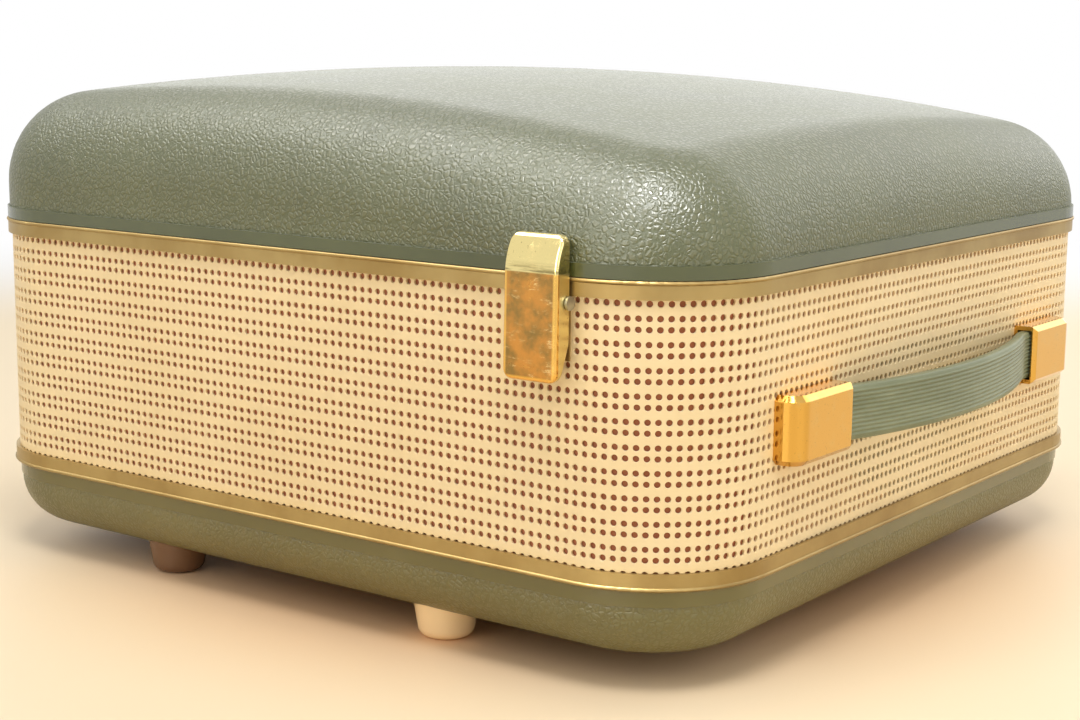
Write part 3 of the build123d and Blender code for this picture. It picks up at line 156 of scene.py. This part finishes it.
class Finish(Nodes):
    """One procedural material, with a Principled shader at its end."""

    def __init__(self, name):
        self.material = bpy.data.materials.new(name)
        self.material.use_nodes = True
        super().__init__(self.material.node_tree)
        self.tree.nodes.clear()
        self.output = self.tree.nodes.new("ShaderNodeOutputMaterial")
        self.shader = self.tree.nodes.new("ShaderNodeBsdfPrincipled")
        self.surface = Value(self, self.shader.outputs[0])
        self.fill(self.output.inputs, {"Surface": self.surface})

    def shade(self, **sockets):
        """Set the shader's sockets; underscores stand for spaces."""
        self.fill(self.shader.inputs, {key.replace("_", " "): value for key, value in sockets.items()})
        return self.material

    def place(self):
        """Object coordinates, in metres."""
        return self.node("ShaderNodeTexCoord", output="Object")

    def axis(self, letter):
        """One of the Object coordinates."""
        return self.node("ShaderNodeSeparateXYZ", None, [self.place()], letter)

    def away(self, centre_x=0.0, centre_y=0.0):
        """Distance from an upright line."""
        across = self.axis("X") - centre_x
        along = self.axis("Y") - centre_y
        return (across * across + along * along).root()

    def wandering(self, size, share):
        """Object coordinates that a noise of a given size draws aside a little."""
        sockets = {0: share, 4: self.place(), 5: self.noise(size, output="Color")}
        return self.node("ShaderNodeMix", {"data_type": "VECTOR"}, sockets, 1)

    def noise(self, size, detail=2.0, roughness=0.5, place=None, output="Fac"):
        """Noise whose features are about a given size."""
        sockets = {
            "Vector": place or self.place(),
            "Scale": 1 / size,
            "Detail": detail,
            "Roughness": roughness,
        }
        return self.node("ShaderNodeTexNoise", None, sockets, output)

    def streaks(self, size, detail, roughness, scale):
        """Noise drawn out along the axes whose scale is small."""
        place = self.node("ShaderNodeMapping", None, {"Vector": self.place(), "Scale": scale})
        return self.noise(size, detail, roughness, place)

    def cells(self, size, feature, place=None):
        """Cells of about a given size."""
        sockets = {"Vector": place or self.place(), "Scale": 1 / size, "Randomness": 1.0}
        return self.node("ShaderNodeTexVoronoi", {"feature": feature}, sockets, "Distance")

    def mix(self, factor, first, second):
        """Blend two colours."""
        return self.node("ShaderNodeMix", {"data_type": "RGBA"}, {0: factor, 6: first, 7: second}, 2)

    def bump(self, height, strength, depth):
        """A Normal from a height field."""
        sockets = {"Height": height, "Strength": strength, "Distance": depth}
        return self.node("ShaderNodeBump", None, sockets)


def tint(red, green, blue):
    """A linear colour from its 0 to 255 screen values."""
    screen = [channel / 255 for channel in (red, green, blue)]
    linear = [c / 12.92 if c <= 0.04045 else ((c + 0.055) / 1.055) ** 2.4 for c in screen]
    return (*linear, 1.0)


# Finishes
def grained_green(name, deep, light, rim_low, rim_high):
    """Olive moulding with a pebbled leather grain, smooth and glossy along its rim."""
    finish = Finish(name)
    height = finish.axis("Z")
    smooth = (height > rim_low) * (height < rim_high)
    grained = 1 - smooth
    uneven = finish.wandering(2.6 * MM, share=0.0022)
    pebble_size = 2.3 * MM
    pebbles = finish.cells(pebble_size, "DISTANCE_TO_EDGE", uneven).ramp(0.0, 0.3) * grained
    fine = finish.noise(1.0 * MM, roughness=0.6)
    swell = finish.noise(14 * MM)
    grain = pebbles * 0.8 + fine * 0.25 + swell * 0.5
    fade = finish.noise(60 * MM, detail=3.0, roughness=0.6)
    olive = finish.mix(fade.ramp(0.3, 0.7), deep, light)
    # Pebble tops painted lighter, a painted highlight that leaves the creases in painted shade
    pebble_highlight = tint(116, 114, 76)
    return finish.shade(
        Base_Color=finish.mix(pebbles * 0.45, olive, pebble_highlight),
        Roughness=0.4 - 0.08 * pebbles - 0.22 * smooth + 0.06 * fade,
        Normal=finish.bump(grain * grained + smooth, strength=1.0, depth=0.22 * MM),
        Specular_IOR_Level=0.75,
    )


def satin_brass():
    """Brushed brass of the trims and hinges, a little brown in places."""
    finish = Finish("satin_brass")
    drawn = finish.streaks(2.2 * MM, detail=4.0, roughness=0.6, scale=(0.04, 0.04, 1.0))
    age = finish.noise(45 * MM, detail=4.0, roughness=0.6)
    colour = finish.mix(age.ramp(0.35, 0.7), tint(172, 148, 96), tint(152, 126, 76))
    return finish.shade(
        Base_Color=colour,
        Metallic=0.9,
        Roughness=0.3 + 0.14 * drawn + 0.06 * age,
        Normal=finish.bump(drawn, strength=0.08, depth=0.05 * MM),
    )


def paint_latch_reflection(finish, plate, colour, dull):
    """Paint a brown reflection, with pale rubs, onto the flat of a latch plate below its crown, and a
    painted highlight along its edges.
    """
    low, high = plate
    middle_y = (low.y + high.y) / 2
    half_plate = (high.y - low.y) / 2
    crown_share = 0.26
    fold_z = high.z - crown_share * (high.z - low.z)
    fold_blur = 0.3 * MM
    face_depth = 2.2 * MM
    height = finish.axis("Z")
    below = 1 - height.ramp(fold_z - fold_blur, fold_z + fold_blur)
    outside = (finish.axis("X").absolute() > -low.x - face_depth) * below

    # Dark streaks over the fold
    fold_streak_reach = 4.5 * MM
    fold_streaks = finish.streaks(0.8 * MM, detail=3.0, roughness=0.6, scale=(1.0, 0.07, 1.0)).ramp(0.4, 0.62)
    over_fold = (1 - height.ramp(fold_z, fold_z + fold_streak_reach)) * (1 - below)
    colour = finish.mix(fold_streaks * over_fold * 0.8, colour, tint(122, 106, 56))

    # Face below the crown painted brown in random tones as a painted reflection, with pale rubs
    reflection_tone = finish.noise(11 * MM, detail=3.0, roughness=0.6).ramp(0.35, 0.65)
    brown = finish.mix(reflection_tone, tint(208, 146, 68), tint(148, 118, 62))
    rubs = finish.streaks(2.6 * MM, detail=5.0, roughness=0.7, scale=(1.0, 0.4, 1.0)).ramp(0.54, 0.72)
    brown = finish.mix(rubs * 0.7, brown, tint(232, 200, 138))

    # Painted highlight along the side and foot edges
    edge_highlight_width = 1.2 * MM
    side_blur = 0.8 * MM
    foot_blur = 1.0 * MM
    side_end = half_plate - edge_highlight_width
    foot_end = low.z + edge_highlight_width
    from_middle = (finish.axis("Y") - middle_y).absolute()
    side_edge = from_middle.ramp(side_end - side_blur, side_end)
    foot_edge = 1 - height.ramp(foot_end, foot_end + foot_blur)
    brown = finish.mix(side_edge.larger(foot_edge) * 0.85, brown, tint(240, 190, 96))

    # The face below the crown takes the painted brown reflection
    colour = finish.mix(outside, colour, brown)
    dull = dull + below * 0.24 + outside * (0.14 * rubs - 0.16)
    return colour, dull


def polished_brass(name, bright, plate=None):
    """Lacquered brass with fine scratches, with a painted brown reflection and painted edge highlights
    where it is given the box of a latch plate.
    """
    finish = Finish(name)
    lines = finish.streaks(1.1 * MM, detail=5.0, roughness=0.7, scale=(1.0, 0.09, 1.0))
    scratches = lines.ramp(0.58, 0.74)
    blotches = finish.noise(7 * MM, detail=4.0, roughness=0.65).ramp(0.5, 0.75)
    specks = finish.noise(0.9 * MM).ramp(0.66, 0.72)
    colour = finish.mix(blotches * 0.3, bright, tint(214, 184, 120))
    colour = finish.mix(specks * 0.4, colour, tint(150, 118, 62))
    dull = blotches * 0.14 + scratches * 0.12
    if plate:
        colour, dull = paint_latch_reflection(finish, plate, colour, dull)
    return finish.shade(
        Base_Color=colour,
        Metallic=1.0,
        Roughness=0.08 + dull,
        Normal=finish.bump(scratches, strength=0.12, depth=0.03 * MM),
        Coat_Weight=0.25,
        Coat_Roughness=0.08,
    )


def cream_enamel(name, base, shade, rough=0.38, rear=None):
    """Smooth cream paint or moulding, faintly clouded; the hinge side may be given another colour."""
    finish = Finish(name)
    cloud = finish.noise(70 * MM, detail=4.0, roughness=0.6)
    dust = finish.noise(0.8 * MM, roughness=0.6)
    colour = finish.mix(cloud.ramp(0.3, 0.75), base, shade)
    if rear:
        colour = finish.mix(finish.axis("Y") > case_middle.y, colour, rear)
    return finish.shade(
        Base_Color=colour,
        Roughness=rough + 0.1 * dust,
        Normal=finish.bump(finish.noise(1.6 * MM, detail=3.0), strength=0.05, depth=0.06 * MM),
    )


def stained_board():
    """Red-brown fibre board behind the holes."""
    finish = Finish("stained_board")
    fibre = finish.streaks(5 * MM, detail=5.0, roughness=0.7, scale=(0.3, 0.3, 1.0))
    return finish.shade(
        Base_Color=finish.mix(fibre, tint(146, 82, 50), tint(178, 108, 70)),
        Roughness=0.75,
        Normal=finish.bump(fibre, strength=0.2, depth=0.2 * MM),
    )


def deck_cloth():
    """Green leathercloth over the motor board, with a fine grain."""
    finish = Finish("deck_cloth")
    weave = finish.cells(1.3 * MM, "SMOOTH_F1")
    cloud = finish.noise(40 * MM, detail=3.0)
    return finish.shade(
        Base_Color=finish.mix(cloud, tint(88, 90, 60), tint(76, 78, 50)),
        Roughness=0.6,
        Normal=finish.bump(weave, strength=0.35, depth=0.25 * MM),
    )


def ribbed_vinyl():
    """Grey-green vinyl of the strap, paler where hands have worn it."""
    finish = Finish("ribbed_vinyl")
    rub = finish.streaks(12 * MM, detail=4.0, roughness=0.6, scale=(0.25, 1.0, 1.0))
    return finish.shade(
        Base_Color=finish.mix(rub.ramp(0.3, 0.7), tint(112, 118, 86), tint(132, 138, 108)),
        Roughness=0.45 + 0.12 * rub,
        Normal=finish.bump(finish.noise(0.7 * MM), strength=0.12, depth=0.05 * MM),
    )


def turned_metal(name, colour, centre):
    """Metal turned on a lathe about an upright line, with fine rings."""
    finish = Finish(name)
    radius = finish.away(centre.x, centre.y)
    turned = finish.node("ShaderNodeCombineXYZ", None, [radius, finish.axis("Z"), 0.0])
    rings = finish.noise(0.5 * MM, roughness=0.6, place=turned)
    return finish.shade(
        Base_Color=colour,
        Metallic=1.0,
        Roughness=0.26 + 0.14 * rings,
        Normal=finish.bump(rings, strength=0.15, depth=0.04 * MM),
    )


def plain(name, colour, shade, rough, metal=0.0, relief=0.06):
    """A simple finish with slight cloud and fine texture."""
    finish = Finish(name)
    cloud_size = 8 * MM
    cloud = finish.noise(cloud_size, detail=4.0, roughness=0.6)
    fine = finish.noise(cloud_size / 12)
    return finish.shade(
        Base_Color=finish.mix(cloud.ramp(0.3, 0.7), colour, shade),
        Metallic=metal,
        Roughness=rough + 0.1 * (cloud - 0.5),
        Normal=finish.bump(fine, relief, depth=0.05 * MM),
    )


def valve_glass():
    """Clear glass with a grey getter haze."""
    finish = Finish("valve_glass")
    haze = finish.noise(10 * MM)
    return finish.shade(
        Base_Color=finish.mix(haze, tint(200, 205, 205), tint(120, 124, 126)),
        Roughness=0.05 + 0.05 * haze,
        Transmission_Weight=0.85,
        IOR=1.5,
    )


lid_rim = (lid_foot_z - MM, lid_foot_z + lid_rim_height)
base_rim = (base_top_z - base_rim_height, base_top_z + MM)
platter_axis = (spindle_low + spindle_high) / 2
band_cream = cream_enamel("band_cream", tint(238, 215, 168), tint(232, 207, 157))
# Latch brass: painted brown reflection below the crown, painted highlights along the edges of its face
latch_gold_painted_light = polished_brass("latch_gold_painted_light", tint(234, 214, 146), (latch_low, latch_high))
strap_vinyl = ribbed_vinyl()
finishes = {
    "satin_brass": satin_brass(),
    "polished_brass": polished_brass("polished_brass", tint(216, 168, 80)),
    "cream_enamel": band_cream,
    "brown_board": stained_board(),
    "deck_board": deck_cloth(),
    "deck_enamel": cream_enamel("deck_cream", tint(228, 206, 160), tint(220, 196, 148), rough=0.3),
    "cream_plastic": cream_enamel("moulded_cream", tint(242, 214, 164), tint(234, 204, 150), rough=0.2),
    "strap_vinyl": strap_vinyl,
    "platter_metal": turned_metal("turned_aluminium", tint(205, 203, 198), platter_axis),
    "black_rubber": plain("black_rubber", tint(28, 28, 28), tint(40, 39, 38), rough=0.7),
    "dark_plastic": plain("dark_plastic", tint(38, 34, 30), tint(50, 45, 40), rough=0.4),
    "zinc_steel": plain("zinc_steel", tint(190, 188, 176), tint(170, 168, 156), rough=0.35, metal=1.0),
    "bright_steel": plain("bright_steel", tint(205, 204, 200), tint(188, 187, 184), rough=0.18, metal=1.0),
    "core_steel": plain("core_steel", tint(50, 46, 42), tint(66, 60, 54), rough=0.5, metal=0.6),
    "coil_wrap": plain("coil_wrap", tint(176, 120, 52), tint(150, 98, 40), rough=0.5),
    "valve_glass": valve_glass(),
    "cone_paper": plain("cone_paper", tint(52, 44, 36), tint(64, 55, 46), rough=0.9, relief=0.3),
}
foot_cream = (tint(250, 222, 172), tint(242, 212, 160))
foot_brown = tint(116, 84, 58)
special = {
    "lid_shell": grained_green("lid_green", tint(74, 79, 40), tint(84, 89, 48), *lid_rim),
    # The base has the lid's plastic, painted browner and lighter as painted warm bounce light from the
    # floor
    "base_tray": grained_green("base_green_painted_bounce", tint(100, 92, 40), tint(110, 101, 48), *base_rim),
    "feet": cream_enamel("foot_plastic", *foot_cream, rough=0.2, rear=foot_brown),
    "left_latch": latch_gold_painted_light,
    "right_latch": latch_gold_painted_light,
    "latch_pins": finishes["zinc_steel"],
}
slot_of = {row["node"]: row["material_slot"] for row in frame["record"]["subparts"]}
for node, solid in nodes.items():
    solid.data.materials.clear()
    solid.data.materials.append(special.get(node) or finishes[slot_of[node]])


# Modelling tools
def verts_of(geometry):
    """The vertices among what an operator returns."""
    return [item for item in geometry if isinstance(item, bmesh.types.BMVert)]


def edges_of(geometry):
    """The edges among what an operator returns."""
    return [item for item in geometry if isinstance(item, bmesh.types.BMEdge)]


def edges_round(verts):
    """The edges of a loop that was just made."""
    return list({edge for vert in verts for edge in vert.link_edges})


def new_object(name, mesh, finish):
    """Make a finished mesh an object at the origin."""
    data = bpy.data.meshes.new(name)
    mesh.to_mesh(data)
    mesh.free()
    data.materials.append(finish)
    made = bpy.data.objects.new(name, data)
    scene.collection.objects.link(made)
    return made


def case_piece(name, mesh, finish, crease):
    """Make a finished mesh a smooth piece that rides on the case, with edges kept over a crease angle."""
    made = new_object(name, mesh, finish)
    made.data.polygons.foreach_set("use_smooth", [True] * len(made.data.polygons))
    made.data.set_sharp_from_angle(angle=math.radians(crease))
    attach(made, "case")
    return made


# Perforated band: rows of holes in pairs, on a sheet that is bent round the case
hole_radius = 1.24 * MM
hole_rim = 1.42 * MM
hole_sides = 12
rim_depth = 0.16 * MM
sheet = 1.0 * MM
column_pitch = 4.0 * MM
pair_gap = 4.04 * MM
row_period = 9.48 * MM
top_pair_z = 152.74 * MM
pair_rows = 11
band_crease = 30
panel_names = ("band_back_left", "band_front_left", "band_front_right", "band_back_right")
half_width = (band_high.x - band_low.x) / 2
half_depth = (band_high.y - band_low.y) / 2
corner_x = half_width - case_corner
corner_y = half_depth - case_corner
quarter_turn = case_corner * math.pi / 2
outline_length = 4 * corner_x + 4 * corner_y + 4 * quarter_turn
panel_columns = round(outline_length / column_pitch / len(panel_names))
pitch = outline_length / (panel_columns * len(panel_names))


def bend_round_case(mesh, start):
    """Bend a flat strip round the case: x is the run from the middle of its back, z the reach outwards."""
    flat = np.array([vert.co for vert in mesh.verts])
    inset = -flat[:, 2]
    plan = np.zeros((len(flat), 2))
    wall_start = -corner_x
    for side in range(4):
        heading = math.pi + side * math.pi / 2
        along = np.array((math.cos(heading), math.sin(heading)))
        inward = np.array((-along[1], along[0]))
        half_run, wall = ((corner_x, half_depth), (corner_y, half_width))[side % 2]
        start_point = -half_run * along - wall * inward
        turn_centre = half_run * along - (wall - case_corner) * inward
        length = 2 * half_run
        for wrap in (0, outline_length):
            gone = flat[:, 0] + start - wrap - wall_start
            on_wall = (gone >= 0) & (gone <= length)
            on_turn = (gone > length) & (gone < length + quarter_turn)
            plan[on_wall] = start_point + gone[on_wall, None] * along + inset[on_wall, None] * inward
            angle = heading - math.pi / 2 + (gone[on_turn] - length) / case_corner
            reach = (case_corner - inset[on_turn])[:, None]
            plan[on_turn] = turn_centre + reach * np.stack((np.cos(angle), np.sin(angle)), axis=1)
        wall_start += length + quarter_turn
    for vert, (x, y), height in zip(mesh.verts, plan, flat[:, 1]):
        vert.co = (case_middle.x + x, case_middle.y + y, height)


def draw_in(centre, verts):
    """Bring a rim to the size of the hole."""
    for vert in verts:
        across = Vector((vert.co.x, vert.co.y - centre.y, 0))
        vert.co = centre + across * (hole_radius / across.length) + Vector((0, 0, vert.co.z))


def hole_cell(mesh, middle, low, high):
    """Add one hole with the sheet round it, in a flat strip: x along the wall, y up, z outwards."""
    centre = Vector((0, middle, 0))
    ring = bmesh.ops.create_circle(mesh, segments=hole_sides, radius=hole_rim)["verts"]
    bmesh.ops.translate(mesh, verts=ring, vec=centre)
    ring_edges = edges_round(ring)
    border = bmesh.ops.create_grid(mesh, x_segments=1, y_segments=1, size=0.5)["verts"]
    bmesh.ops.scale(mesh, verts=border, vec=(pitch, high - low, 1))
    bmesh.ops.translate(mesh, verts=border, vec=(0, (low + high) / 2, 0))
    border_edges = edges_round(border)
    border_faces = list({face for vert in border for face in vert.link_faces})
    bmesh.ops.delete(mesh, geom=border_faces, context="FACES_ONLY")
    plate = bmesh.ops.bridge_loops(mesh, edges=ring_edges + border_edges)["faces"]
    back = verts_of(bmesh.ops.duplicate(mesh, geom=plate)["geom"])
    bmesh.ops.translate(mesh, verts=back, vec=(0, 0, -sheet))
    draw_in(centre, [vert for vert in back if (vert.co - centre).length < 2 * hole_rim])
    for depth in (rim_depth, sheet):
        made = bmesh.ops.extrude_edge_only(mesh, edges=ring_edges)["geom"]
        ring_edges = edges_of(made)
        rim = verts_of(made)
        draw_in(centre, rim)
        for vert in rim:
            vert.co.z = -depth


def repeat(mesh, count, step):
    """Repeat all that a mesh holds, count times in all, a step apart."""
    first = mesh.verts[:] + mesh.edges[:] + mesh.faces[:]
    for index in range(1, count):
        copy = bmesh.ops.duplicate(mesh, geom=first)["geom"]
        bmesh.ops.translate(mesh, verts=verts_of(copy), vec=[index * part for part in step])


def perforated_panel(name, first_column):
    """One quarter of the perforated band."""
    mesh = bmesh.new()
    half_gap = (row_period - pair_gap) / 2
    low_row_z = top_pair_z - pair_gap
    hole_cell(mesh, top_pair_z, top_pair_z - pair_gap / 2, top_pair_z + half_gap)
    hole_cell(mesh, low_row_z, low_row_z - half_gap, low_row_z + pair_gap / 2)
    repeat(mesh, pair_rows, (0, -row_period, 0))
    last_row_z = top_pair_z - pair_rows * row_period
    hole_cell(mesh, last_row_z, band_low.z, last_row_z + half_gap)
    bmesh.ops.translate(mesh, verts=mesh.verts[:], vec=(pitch / 2, 0, 0))
    repeat(mesh, panel_columns, (pitch, 0, 0))
    bmesh.ops.remove_doubles(mesh, verts=mesh.verts[:], dist=merge_distance)
    bmesh.ops.recalc_face_normals(mesh, faces=mesh.faces[:])
    bend_round_case(mesh, first_column * pitch)
    return case_piece(name, mesh, band_cream, band_crease)


for index, name in enumerate(panel_names):
    panel = perforated_panel(name, index * panel_columns)
    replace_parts(panel, "perforated_band")

# Strap: a ribbed section carried along the route of its solid
strap_thickness = 5.0 * MM
strap_bend = 30.0 * MM
strap_ribs = 11
rib_steps = 8
rib_depth = 0.45 * MM
edge_round = 1.4 * MM
edge_turns = [math.radians(degrees) for degrees in (30, 60, 90)]
bend_steps = 6
bow_steps = 40
strap_crease = 60
cap_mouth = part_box("right_handle_cap")[0].x
strap_end = strap_high.x
strap_y = strap_high.y - strap_thickness / 2
strap_z = (strap_low.z + strap_high.z) / 2
strap_half = (strap_high.z - strap_low.z) / 2
bow_rise = strap_y - strap_low.y - strap_thickness / 2
bow_turn = 2 * math.atan2(bow_rise, cap_mouth)
bow_radius = cap_mouth / math.sin(bow_turn) - strap_bend


def strap_section(mesh):
    """The strap's closed outline at its left end: ribs outside, rounded edges, a plain back."""
    outer_y = strap_y - strap_thickness / 2
    inner_y = strap_y + strap_thickness / 2
    back_bevel = edge_round / 2
    span = strap_half - edge_round
    steps = strap_ribs * rib_steps
    ribs = []
    for step in range(steps + 1):
        share = step / steps
        wave = 0.5 - 0.5 * math.cos(2 * math.pi * share * strap_ribs)
        ribs.append((outer_y + rib_depth * (1 - wave), -span + 2 * span * share))
    edge = []
    for angle in edge_turns:
        y = outer_y + edge_round * (1 - math.cos(angle)) + rib_depth * math.cos(angle)
        edge.append((y, span + edge_round * math.sin(angle)))
    edge.append((inner_y - back_bevel, strap_half))
    edge.append((inner_y, strap_half - back_bevel))
    points = ribs + edge + [(y, -z) for y, z in reversed(edge)]
    ring = [mesh.verts.new((-strap_end, y, strap_z + z)) for y, z in points]
    return [mesh.edges.new(pair) for pair in zip(ring, ring[1:] + ring[:1])]


def carry(mesh, edges, move):
    """Extrude an outline and move its new end."""
    made = bmesh.ops.extrude_edge_only(mesh, edges=edges)["geom"]
    bmesh.ops.translate(mesh, verts=verts_of(made), vec=move)
    return edges_of(made)


def turn(mesh, edges, centre, angle, steps):
    """Spin an outline about an upright line."""
    made = bmesh.ops.spin(mesh, geom=edges, cent=centre, axis=UP, angle=angle, steps=steps)
    return edges_of(made["geom_last"])


def strap():
    """The strap: flat in each cap, turned out at its mouth and bowed over the hand's gap."""
    mesh = bmesh.new()
    in_cap = (strap_end - cap_mouth, 0, 0)
    bend_centre = Vector((-cap_mouth, strap_y - strap_bend, strap_z))
    outwards = Vector((math.sin(bow_turn), math.cos(bow_turn), 0))
    bow_centre = bend_centre + (strap_bend + bow_radius) * outwards
    edges = carry(mesh, strap_section(mesh), in_cap)
    edges = turn(mesh, edges, bend_centre, -bow_turn, bend_steps)
    edges = turn(mesh, edges, bow_centre, 2 * bow_turn, bow_steps)
    bend_centre.x = cap_mouth
    edges = turn(mesh, edges, bend_centre, -bow_turn, bend_steps)
    carry(mesh, edges, in_cap)
    bmesh.ops.remove_doubles(mesh, verts=mesh.verts[:], dist=merge_distance)
    open_ends = [edge for edge in mesh.edges if edge.is_boundary]
    bmesh.ops.holes_fill(mesh, edges=open_ends)
    bmesh.ops.recalc_face_normals(mesh, faces=mesh.faces[:])
    return case_piece("ribbed_strap", mesh, strap_vinyl, strap_crease)


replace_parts(strap(), "handle_strap")

# Floor, light and camera
floor_size = 6.0
# Painted shade: the floor is darker and warmer right round the player
floor_painted_shade = tint(236, 180, 126)
floor_pale = tint(250, 230, 195)
pale_reach = (0.1, 0.3)
white_reach = (0.75, 1.5)
soft_light = 0.55
white_light = 1.0


def floor():
    """A pale floor, painted darker and warmer round the player as painted shade, that fades to white away
    from the player.
    """
    finish = Finish("pale_floor")
    away = finish.away()
    far = away.ramp(*white_reach) * finish.seen()
    near = finish.mix(away.ramp(*pale_reach), floor_painted_shade, floor_pale)
    finish.shade(Base_Color=finish.mix(far, near, WHITE), Roughness=0.5, Specular_IOR_Level=0.2)
    glow = finish.node("ShaderNodeEmission", None, {"Color": WHITE, "Strength": white_light})
    blend = finish.node("ShaderNodeMixShader", None, [far, finish.surface, glow])
    finish.fill(finish.output.inputs, {"Surface": blend})
    mesh = bmesh.new()
    bmesh.ops.create_grid(mesh, x_segments=1, y_segments=1, size=floor_size)
    new_object("floor", mesh, finish.material)


def sky():
    """White where the camera, a mirror or glass shows it, a plain soft light elsewhere."""
    world = bpy.data.worlds.new("studio")
    world.use_nodes = True
    scene.world = world
    light = Nodes(world.node_tree)
    strength = soft_light + (white_light - soft_light) * light.seen()
    light.fill(world.node_tree.nodes["Background"].inputs, {"Color": WHITE, "Strength": strength})


def lamp(name, place, target, size, watts, sheen=False):
    """A soft square lamp; one for sheen is only seen as a reflection on glossy faces."""
    light = bpy.data.lights.new(name, "AREA")
    light.size = size
    light.energy = watts
    made = bpy.data.objects.new(name, light)
    made.location = place
    made.rotation_euler = (Vector(target) - Vector(place)).to_track_quat("-Z", "Y").to_euler()
    made.visible_diffuse = not sheen
    scene.collection.objects.link(made)


def photo_camera():
    """The camera where the photo was taken, from the solved place, aim and lens."""
    place = Vector((-0.75623, -0.54029, 0.24475))
    yaw = 0.937
    tilt = -0.170
    roll = 0.0096
    ahead = Vector((math.sin(yaw), math.cos(yaw), 0))
    level = Vector((math.cos(yaw), -math.sin(yaw), 0))
    forward = math.cos(tilt) * ahead + math.sin(tilt) * UP
    upright = level.cross(forward)
    right = level * math.cos(roll) + upright * math.sin(roll)
    above = upright * math.cos(roll) - level * math.sin(roll)
    data = bpy.data.cameras.new("camera")
    data.sensor_width = 36.0
    data.lens = 64.0
    data.clip_start = 0.01
    made = bpy.data.objects.new("camera", data)
    aim = Matrix((right, above, -forward)).transposed().to_4x4()
    made.matrix_world = Matrix.Translation(place) @ aim
    scene.collection.objects.link(made)
    scene.camera = made


case_centre = (0, 0, 0.1)
floor()
sky()
lamp("key", (-0.65, -0.5, 1.7), (-0.1, -0.1, 0.1), size=0.6, watts=13)
lamp("right_fill", (1.6, -0.5, 1.0), case_centre, size=1.5, watts=10)
lamp("left_fill", (-1.6, 0.3, 1.1), case_centre, size=1.2, watts=5)
lamp("front_fill", (-0.3, -1.7, 0.8), case_centre, size=1.4, watts=6)
lamp("glint", (-0.65, -0.5, 1.7), (-0.18, -0.17, 0.19), size=0.4, watts=36, sheen=True)
lamp("high_sheen", (-0.6, 1.05, 2.05), (-0.18, -0.08, 0.2), size=1.3, watts=40, sheen=True)
lamp("left_sheen", (-1.7, -0.1, 0.75), (-0.19, -0.1, 0.18), size=1.2, watts=18, sheen=True)
lamp("far_sheen", (1.45, 1.05, 0.75), (0, 0, 0.2), size=1.4, watts=9, sheen=True)
photo_camera()
scene.view_settings.view_transform = "Standard"
